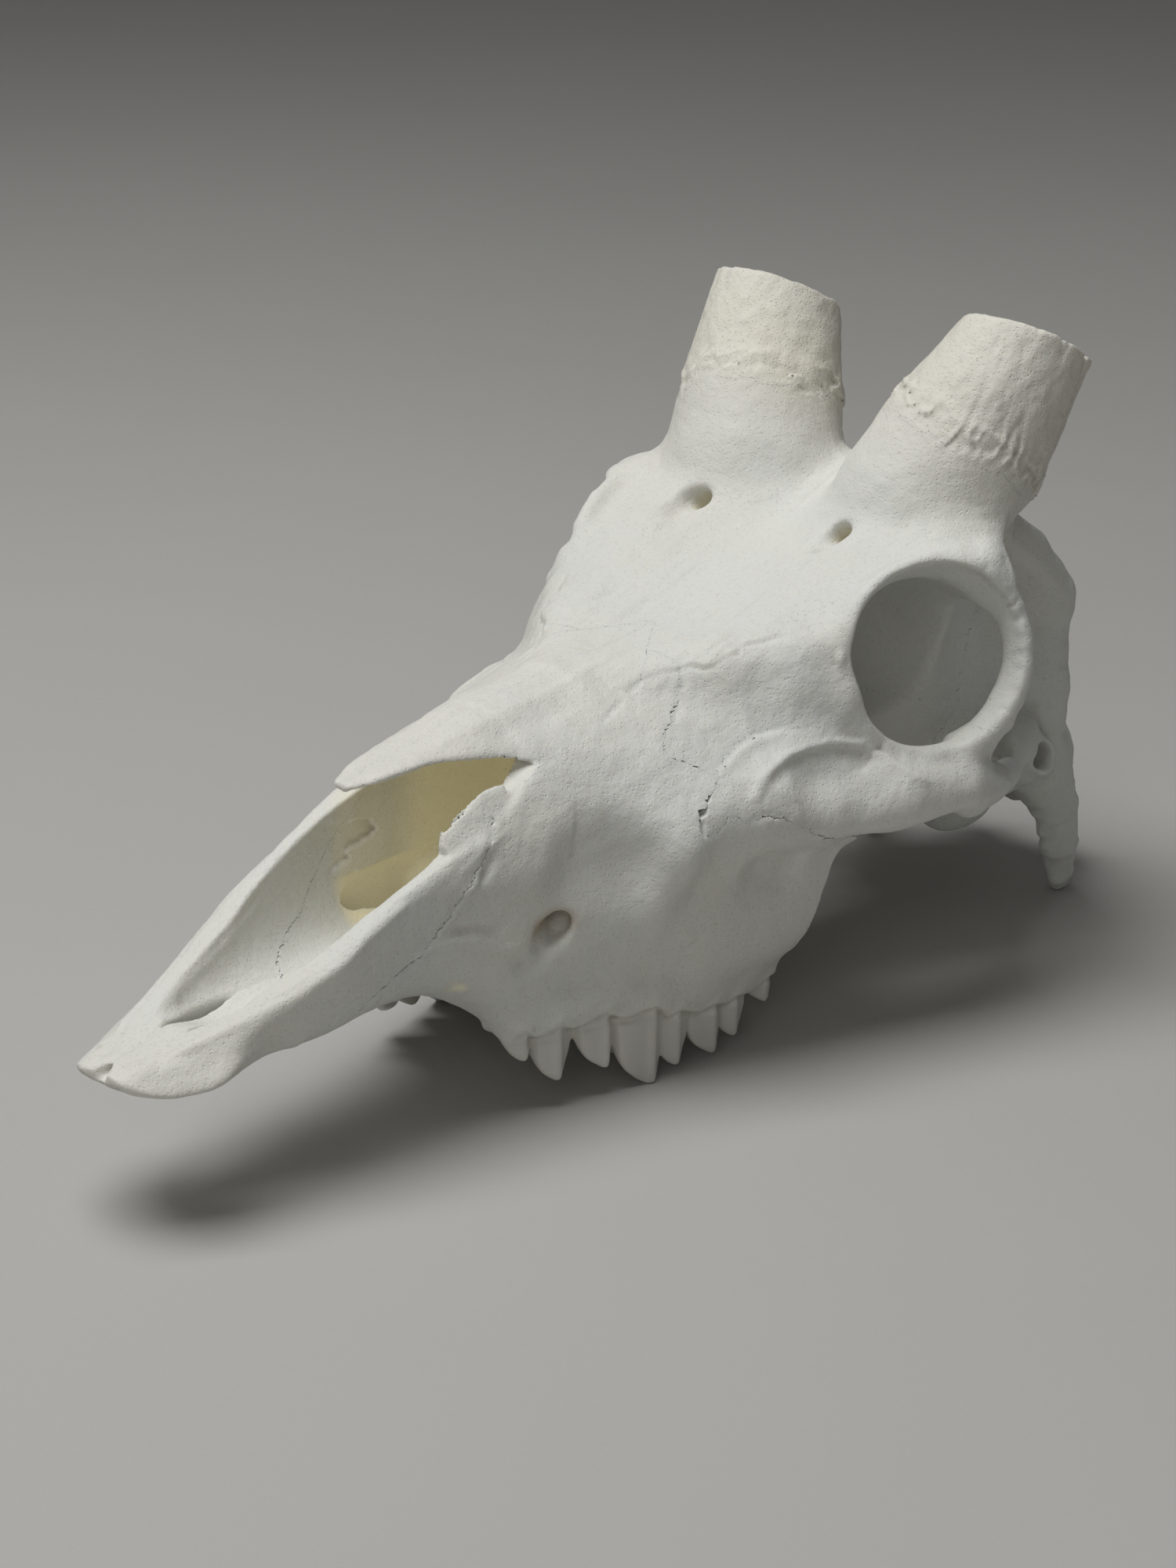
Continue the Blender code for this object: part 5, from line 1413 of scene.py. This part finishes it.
def without_crumbs(points, quads):
    """The skin without small loose pieces."""
    most_rounds = 400
    smallest = 0.02
    label = np.arange(len(points))
    for attempt in range(most_rounds):
        lowest = label[quads].min(1)
        before = label.copy()
        for k in range(4):
            np.minimum.at(label, quads[:, k], lowest)
        label = label[label]
        if (label == before).all():
            break
    counts = np.bincount(label, minlength=len(points))
    keep = counts[label] > smallest*counts.max()
    number = np.cumsum(keep)-1
    return points[keep], number[quads[keep[quads[:, 0]]]]


def normals_of(points, quads):
    """Direction out of the surface at each point."""
    across = np.cross(points[quads[:, 2]]-points[quads[:, 0]], points[quads[:, 3]]-points[quads[:, 1]])
    total = np.zeros((len(points), 3))
    for corner in range(4):
        for k in range(3):
            total[:, k] += np.bincount(quads[:, corner], across[:, k], minlength=len(points))
    return total/np.maximum(np.linalg.norm(total, axis=1), 1e-9)[:, None]


def slopes_of(points, whole, low, step):
    """Direction in which the form's values rise at each point, which is the way that its surface faces."""
    slopes = [sampled(part, low, step, points)[0] for part in np.gradient(whole, step)]
    smooth = np.stack(slopes, 1)
    return smooth/np.maximum(np.linalg.norm(smooth, axis=1), 1e-9)[:, None]


def face_normals(points, quads, smooth, whole, room, low, step):
    """Shading direction at each quad's corners: the form's own slope on the skin, flat in a suture."""
    middle = points[quads].mean(1)
    in_suture = sampled(room, low, step, middle)[0] > sampled(whole, low, step, middle)[0]
    across = np.cross(points[quads[:, 2]]-points[quads[:, 0]], points[quads[:, 3]]-points[quads[:, 1]])
    across /= np.maximum(np.linalg.norm(across, axis=1), 1e-9)[:, None]
    corners = smooth[quads]
    corners[in_suture] = across[in_suture][:, None, :]
    return corners.reshape(-1, 3)


def hollowness(points, quads):
    """How far each point lies in a hollow, in millimetres; below zero on an edge."""
    rounds = 7
    smooth = points
    for attempt in range(rounds):
        smooth = averaged(smooth, quads)
    return ((smooth-points)*normals_of(points, quads)).sum(1)


# Middles and radii of the yellow staining with its painted glow at the forehead's opening, and of the
# painted shade at the nerve opening
VESSEL = (19.3, 195, 97)
VESSEL_RADII = (3.4, 4.2, 3.6)
NERVE = (24, 98, 40.5)
NERVE_RADII = (5, 6, 3.4)


def blob(points, middle, radii):
    """Soft-edged ellipsoid on both sides of the skull, from 0 to 1."""
    x, s, z = points.T
    square = ((np.abs(x)-middle[0])/radii[0])**2+((s-middle[1])/radii[1])**2+((z-middle[2])/radii[2])**2
    return np.exp(-square**2)


def stain_and_glow_of(points, facing):
    """Yellow staining on the inner faces of the nose and in the forehead's openings, from 0 to 1; it also
    lightens them and makes them glow, a painted light through thin bone.
    """
    x, s, z = points.T
    inward = np.clip(0.5-1.2*facing[:, 0]*np.sign(x), 0, 1)*(1-ramp(z, 71, 73.5))
    downward = np.clip(-1.5*facing[:, 2], 0, 1)
    inside = np.maximum(inward, downward)*(1-ramp(np.abs(x), 17.6, 19))
    back = np.maximum(0.4+0.6*ramp(s, 92, 104), ramp(44.5-z, -1, 1))
    nose = ramp(s, 75, 80)*back*inside*ramp(z, 28, 31)*(1-ramp(s, 140, 150))
    plate = ramp(x, 10, 13)*(1-ramp(s, 102, 108))*ramp(z, 52, 56)
    vessel = blob(points, VESSEL, VESSEL_RADII)
    return np.clip(nose*(1-0.85*plate)+0.55*vessel, 0, 1)


def arch_shade_of(points, facing):
    """Brown painted shading under the arch of the nerve opening, strongest on faces that look down and high
    in the opening, from 0 to 1.
    """
    nerve = blob(points, NERVE, NERVE_RADII)
    return nerve*np.clip(0.9-0.8*facing[:, 2], 0, 1)*(0.25+0.75*ramp(points[:, 2], 36.5, 39.5))


def core_of(x, s, z):
    """Share of porous horn core, from 0 to 1."""
    height, away, turn = horn_place(x, s, z)
    return ramp(height, -24, 6)*(1-ramp(away, 22, 30))*ramp(s, 185, 205)


def enamel_of(x, s, z):
    """Share of tooth crown, from 0 to 1."""
    under_gum = 0.5
    gum = curve(*[(lobe[0], lobe[-1]) for lobe in CROWN_LOBES])
    return ramp(gum(s)+under_gum-z, 0, 1.0)*ramp(s, 88, 90)*(1-ramp(s, 164, 166))


def grids_of(name, form, crack):
    """Values round one bone: of the whole skull and of the bone's room, and the lowest corner of both."""
    spread = 9.0
    low, high = [np.array(corner)/MM+np.array([0, MIDDLE, 0]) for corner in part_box(name)]
    whole, corner, x, s, z = form.patch(low-spread, high+spread)
    base = name.replace("_left", "").replace("_right", "")
    room = room_of(base, x, s, z)
    if name != base:
        side = -1 if name.endswith("_right") else 1
        room = np.maximum(room, -side*x)
    return whole, room+form.patch_of(crack, low-spread, high+spread), corner


def closed(values):
    """Values with a layer outside the skin on all six sides of their box."""
    outside = 0.5
    for k in range(3):
        face = [slice(None)]*3
        for end in (0, -1):
            face[k] = end
            values[tuple(face)] = np.maximum(values[tuple(face)], outside)
    return values


def mesh_of(name, placed, quads, shading):
    """Mesh of quads with its own shading directions."""
    mesh = bpy.data.meshes.new(name)
    mesh.vertices.add(len(placed))
    mesh.vertices.foreach_set("co", placed.astype(np.float32).ravel())
    mesh.loops.add(4*len(quads))
    mesh.loops.foreach_set("vertex_index", quads.astype(np.int32).ravel())
    mesh.polygons.add(len(quads))
    mesh.polygons.foreach_set("loop_start", np.arange(0, 4*len(quads), 4, dtype=np.int32))
    mesh.polygons.foreach_set("use_smooth", np.ones(len(quads), bool))
    mesh.update(calc_edges=True)
    mesh.normals_split_custom_set(shading.tolist())
    return mesh


def bone_object(name, form, crack):
    """Mesh object of one bone, with the marks that its material reads."""
    whole, room, corner = grids_of(name, form, crack)
    points, quads = skin_of(closed(np.maximum(whole, room)), corner, form.step)
    points, quads = without_crumbs(points, quads)
    halfway = 0.5*points+0.5*averaged(points, quads)
    points, on_skin = settled(halfway, whole, room, corner, form.step)
    facing = slopes_of(points, whole, corner, form.step)
    shading = face_normals(points, quads, facing, whole, room, corner, form.step)
    x, s, z = points.T
    # Marks for the material: painted shade in hollows and under the nerve opening's arch, yellow staining
    # with its painted glow, enamel and horn core
    marks = {"crevice": hollowness(points, quads)*on_skin, "stain": stain_and_glow_of(points, facing),
             "shade": arch_shade_of(points, facing), "enamel": enamel_of(x, s, z), "core": core_of(x, s, z)}
    placed = np.clip((points-np.array([0, MIDDLE, 0]))*MM, np.array(cad_box[0]), np.array(cad_box[1]))
    mesh = mesh_of(name+"_bone", placed, quads, shading)
    for word, mark in marks.items():
        layer = mesh.attributes.new(word, "FLOAT", "POINT")
        layer.data.foreach_set("value", mark.astype(np.float32))
    thing = bpy.data.objects.new(name+"_bone", mesh)
    bpy.context.scene.collection.objects.link(thing)
    return thing


# Materials

class Nodes:
    """Small helper that adds and links shader nodes."""

    def __init__(self, name):
        self.material = bpy.data.materials.new(name)
        self.material.use_nodes = True
        self.tree = self.material.node_tree
        self.shader = self.tree.nodes["Principled BSDF"]

    def add(self, kind, inputs=(), **settings):
        """New node, with values or other nodes' outputs in its sockets."""
        node = self.tree.nodes.new(kind)
        for word, value in settings.items():
            setattr(node, word, value)
        for key, value in dict(inputs).items():
            if isinstance(value, bpy.types.NodeSocket):
                self.tree.links.new(value, node.inputs[key])
            else:
                node.inputs[key].default_value = value
        return node

    def mark(self, word):
        """Value that the mesh holds under a name."""
        return self.add("ShaderNodeAttribute", attribute_name=word).outputs["Fac"]

    def place(self):
        """Place on the object."""
        return self.add("ShaderNodeTexCoord").outputs["Object"]

    def rise(self, value, start, end, low=0.0, high=1.0):
        """Value spread from one range to another."""
        inputs = {"Value": value, "From Min": start, "From Max": end, "To Min": low, "To Max": high}
        return self.add("ShaderNodeMapRange", inputs, clamp=True).outputs["Result"]

    def noise(self, scale, detail, rough):
        """Random value near 0.5."""
        inputs = {"Vector": self.place(), "Scale": scale, "Detail": detail, "Roughness": rough}
        return self.add("ShaderNodeTexNoise", inputs).outputs["Fac"]

    def combine(self, operation, first, second, use_clamp=False):
        """Sum or product of two values."""
        inputs = {0: first, 1: second}
        return self.add("ShaderNodeMath", inputs, operation=operation, use_clamp=use_clamp).outputs[0]

    def mix(self, share, first, second):
        """Mix of two colours."""
        colours = [value if isinstance(value, bpy.types.NodeSocket) else (*value, 1.0)
                   for value in (first, second)]
        inputs = {MIX_SHARE: share, MIX_FIRST: colours[0], MIX_SECOND: colours[1]}
        return self.add("ShaderNodeMix", inputs, data_type="RGBA").outputs[MIX_RESULT]

    def finish(self, colour, roughness, bump, strength):
        """Link what was worked out to the shader."""
        self.tree.links.new(colour, self.shader.inputs["Base Color"])
        self.tree.links.new(roughness, self.shader.inputs["Roughness"])
        raised = self.add("ShaderNodeBump", {"Height": bump, "Strength": strength, "Distance": BUMP_HEIGHT})
        self.tree.links.new(raised.outputs["Normal"], self.shader.inputs["Normal"])
        return self.material


# Sockets of a colour mix, and the height of a full bump in metres
MIX_SHARE = 0
MIX_FIRST = 6
MIX_SECOND = 7
MIX_RESULT = 2
BUMP_HEIGHT = 0.0005

CLEAN = (0.72, 0.72, 0.685)
COOL = (0.66, 0.68, 0.67)
CREAM = (0.70, 0.665, 0.565)
# Painted shade for the hollows of the bone, also the colour of the small dark specks of the grain
SPECK_AND_CREVICE_SHADE = (0.33, 0.29, 0.22)
# Yellow of the nose's staining, made light to paint the light that comes through its thin bone; also the
# colour of its painted glow
NOSE_STAIN_AND_GLOW = (0.78, 0.72, 0.50)
# Brown painted shading for the underside of the nerve opening's arch
ARCH_SHADE_COLOUR = (0.42, 0.34, 0.24)
ENAMEL = (0.60, 0.585, 0.54)

# Marks of the mesh, painted shade and glow as well as real tints: where each starts to show, where it is
# full, its share there, and its colour
MARK_TINTS_AND_SHADES = (
    ("crevice", 0.05, 0.40, 0.55, SPECK_AND_CREVICE_SHADE),
    ("stain", 0.0, 1.0, 0.9, NOSE_STAIN_AND_GLOW),
    ("shade", 0.0, 1.0, 0.85, ARCH_SHADE_COLOUR),
    ("enamel", 0.0, 1.0, 0.85, ENAMEL),
)


def bone_colour(n):
    """Clean bone with cream patches and small specks, then the colours of the mesh's marks: painted shade
    in hollows and under the nerve opening's arch, yellow staining lightened as painted light, and enamel.
    """
    colour = n.mix(n.rise(n.noise(9, 2, 0.5), 0.35, 0.7), CLEAN, COOL)
    patches = n.rise(n.noise(22, 3, 0.5), 0.42, 0.68, 0.10, 0.38)
    porous = n.rise(n.mark("core"), 0, 1, 0, 0.42)
    colour = n.mix(n.combine("ADD", patches, porous, True), colour, CREAM)
    colour = n.mix(n.rise(n.noise(900, 2, 0.6), 0.62, 0.78, 0.0, 0.22), colour, SPECK_AND_CREVICE_SHADE)
    # Painted shade in hollows and under the nerve opening's arch, lightened yellow staining, and enamel
    for word, start, full, share, mark_colour in MARK_TINTS_AND_SHADES:
        colour = n.mix(n.rise(n.mark(word), start, full, 0.0, share), colour, mark_colour)
    return colour


def bone_bumps(n):
    """Fine pores and grain, weaker on enamel."""
    pores = n.add("ShaderNodeTexVoronoi", {"Vector": n.place(), "Scale": 1150.0}).outputs["Distance"]
    pits = n.rise(pores, 0.0, 0.32, 0.0, 0.35)
    height = n.combine("ADD", pits, n.noise(420, 5, 0.62))
    return n.combine("MULTIPLY", height, n.rise(n.mark("enamel"), 0.0, 1.0, 1.0, 0.25))


def bone_material(name, pore_strength):
    """Dry bleached bone, glossier on the teeth, with a faint painted glow inside the nose and in the
    forehead's openings.
    """
    n = Nodes(name)
    dry = n.rise(n.noise(60, 4, 0.6), 0.3, 0.7, 0.52, 0.66)
    rough = n.combine("MULTIPLY", dry, n.rise(n.mark("enamel"), 0.0, 1.0, 1.0, 0.55))
    # Painted glow where the bone is stained yellow, standing in for light through thin bone
    glow = n.rise(n.mark("stain"), 0.2, 1.0, 0.0, 0.09)
    n.tree.links.new(glow, n.shader.inputs["Emission Strength"])
    for word, value in (("Specular IOR Level", 0.35), ("Subsurface Weight", 0.12),
                        ("Subsurface Radius", (1.0, 0.75, 0.5)), ("Subsurface Scale", 0.0025),
                        ("Emission Color", (*NOSE_STAIN_AND_GLOW, 1.0))):
        n.shader.inputs[word].default_value = value
    return n.finish(bone_colour(n), rough, bone_bumps(n), pore_strength)


def floor_material():
    """Pale matt card, faintly mottled."""
    n = Nodes("floor_card")
    colour = n.mix(n.rise(n.noise(3, 3, 0.5), 0.3, 0.7), (0.43, 0.425, 0.41), (0.45, 0.445, 0.43))
    return n.finish(colour, n.rise(n.noise(40, 2, 0.5), 0, 1, 0.75, 0.85), n.noise(900, 2, 0.5), 0.05)


# Stage

def add_floor():
    """Pale floor that the skull lies on."""
    half = 4.0
    gap = 0.0003
    corners = [(-half, -half, 0), (half, -half, 0), (half, half, 0), (-half, half, 0)]
    mesh = bpy.data.meshes.new("floor")
    mesh.from_pydata(corners, [], [(0, 1, 2, 3)])
    floor = bpy.data.objects.new("floor", mesh)
    floor.location.z = -gap
    bpy.context.scene.collection.objects.link(floor)
    mesh.materials.append(floor_material())


def add_light(name, place, target, size, power, colour):
    """Soft rectangular light that faces a point."""
    data = bpy.data.lights.new(name, "AREA")
    data.shape = "RECTANGLE"
    data.size = size[0]
    data.size_y = size[1]
    data.energy = power
    data.color = colour
    light = bpy.data.objects.new(name, data)
    light.location = place
    light.rotation_euler = (Vector(target)-Vector(place)).to_track_quat("-Z", "Y").to_euler()
    bpy.context.scene.collection.objects.link(light)


def add_lights():
    """Large soft light overhead, a weaker one from the front and dim surroundings."""
    middle = (0.0, 0.0, 0.07)
    add_light("overhead", (-0.20, -0.32, 1.24), middle, (0.8, 0.75), 13.5, (1.0, 1.0, 0.99))
    add_light("front", (0.75, -1.25, 0.75), middle, (0.8, 0.6), 2.3, (1.0, 0.99, 0.97))
    world = bpy.data.worlds.new("studio")
    world.use_nodes = True
    background = world.node_tree.nodes["Background"]
    background.inputs["Color"].default_value = (0.84, 0.83, 0.80, 1.0)
    background.inputs["Strength"].default_value = 0.12
    bpy.context.scene.world = world


def add_camera():
    """Camera of the photograph."""
    flat = math.cos(CAMERA_TILT)
    back = Vector((flat*math.sin(CAMERA_TURN), -flat*math.cos(CAMERA_TURN), math.sin(CAMERA_TILT)))
    level = Vector((math.cos(CAMERA_TURN), math.sin(CAMERA_TURN), 0.0))
    upright = back.cross(level)
    right = math.cos(CAMERA_ROLL)*level+math.sin(CAMERA_ROLL)*upright
    up = back.cross(right)
    data = bpy.data.cameras.new("camera")
    data.sensor_fit = "VERTICAL"
    data.sensor_height = SENSOR
    data.lens = FOCAL_PIXELS/PICTURE_HEIGHT*SENSOR
    camera = bpy.data.objects.new("camera", data)
    turned = Matrix((right, up, back)).transposed().to_4x4()
    camera.matrix_world = Matrix.Translation(Vector(CAMERA_PLACE)) @ turned
    bpy.context.scene.collection.objects.link(camera)
    bpy.context.scene.camera = camera


def build_bones():
    """Every bone in place of its plain solid."""
    form = skull_form(STEP).both_sides()
    carve(form)
    roughen(form)
    crack = open_sutures(form)
    bone = bone_material("bleached_bone", 0.7)
    others = {"horn_core": bone_material("porous_horn_core", 0.85),
              "tooth_jaw": bone_material("jaw_and_teeth", 0.7)}
    triangles = 0
    for part in frame["record"]["subparts"]:
        name = part["node"]
        thing = bone_object(name, form, crack)
        thing.data.materials.append(others.get(part["material_slot"], bone))
        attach(thing, "root")
        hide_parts(name)
        triangles += 2*len(thing.data.polygons)
    print("triangles", triangles)


add_camera()
add_floor()
add_lights()
build_bones()
bpy.context.scene.view_settings.view_transform = "Standard"
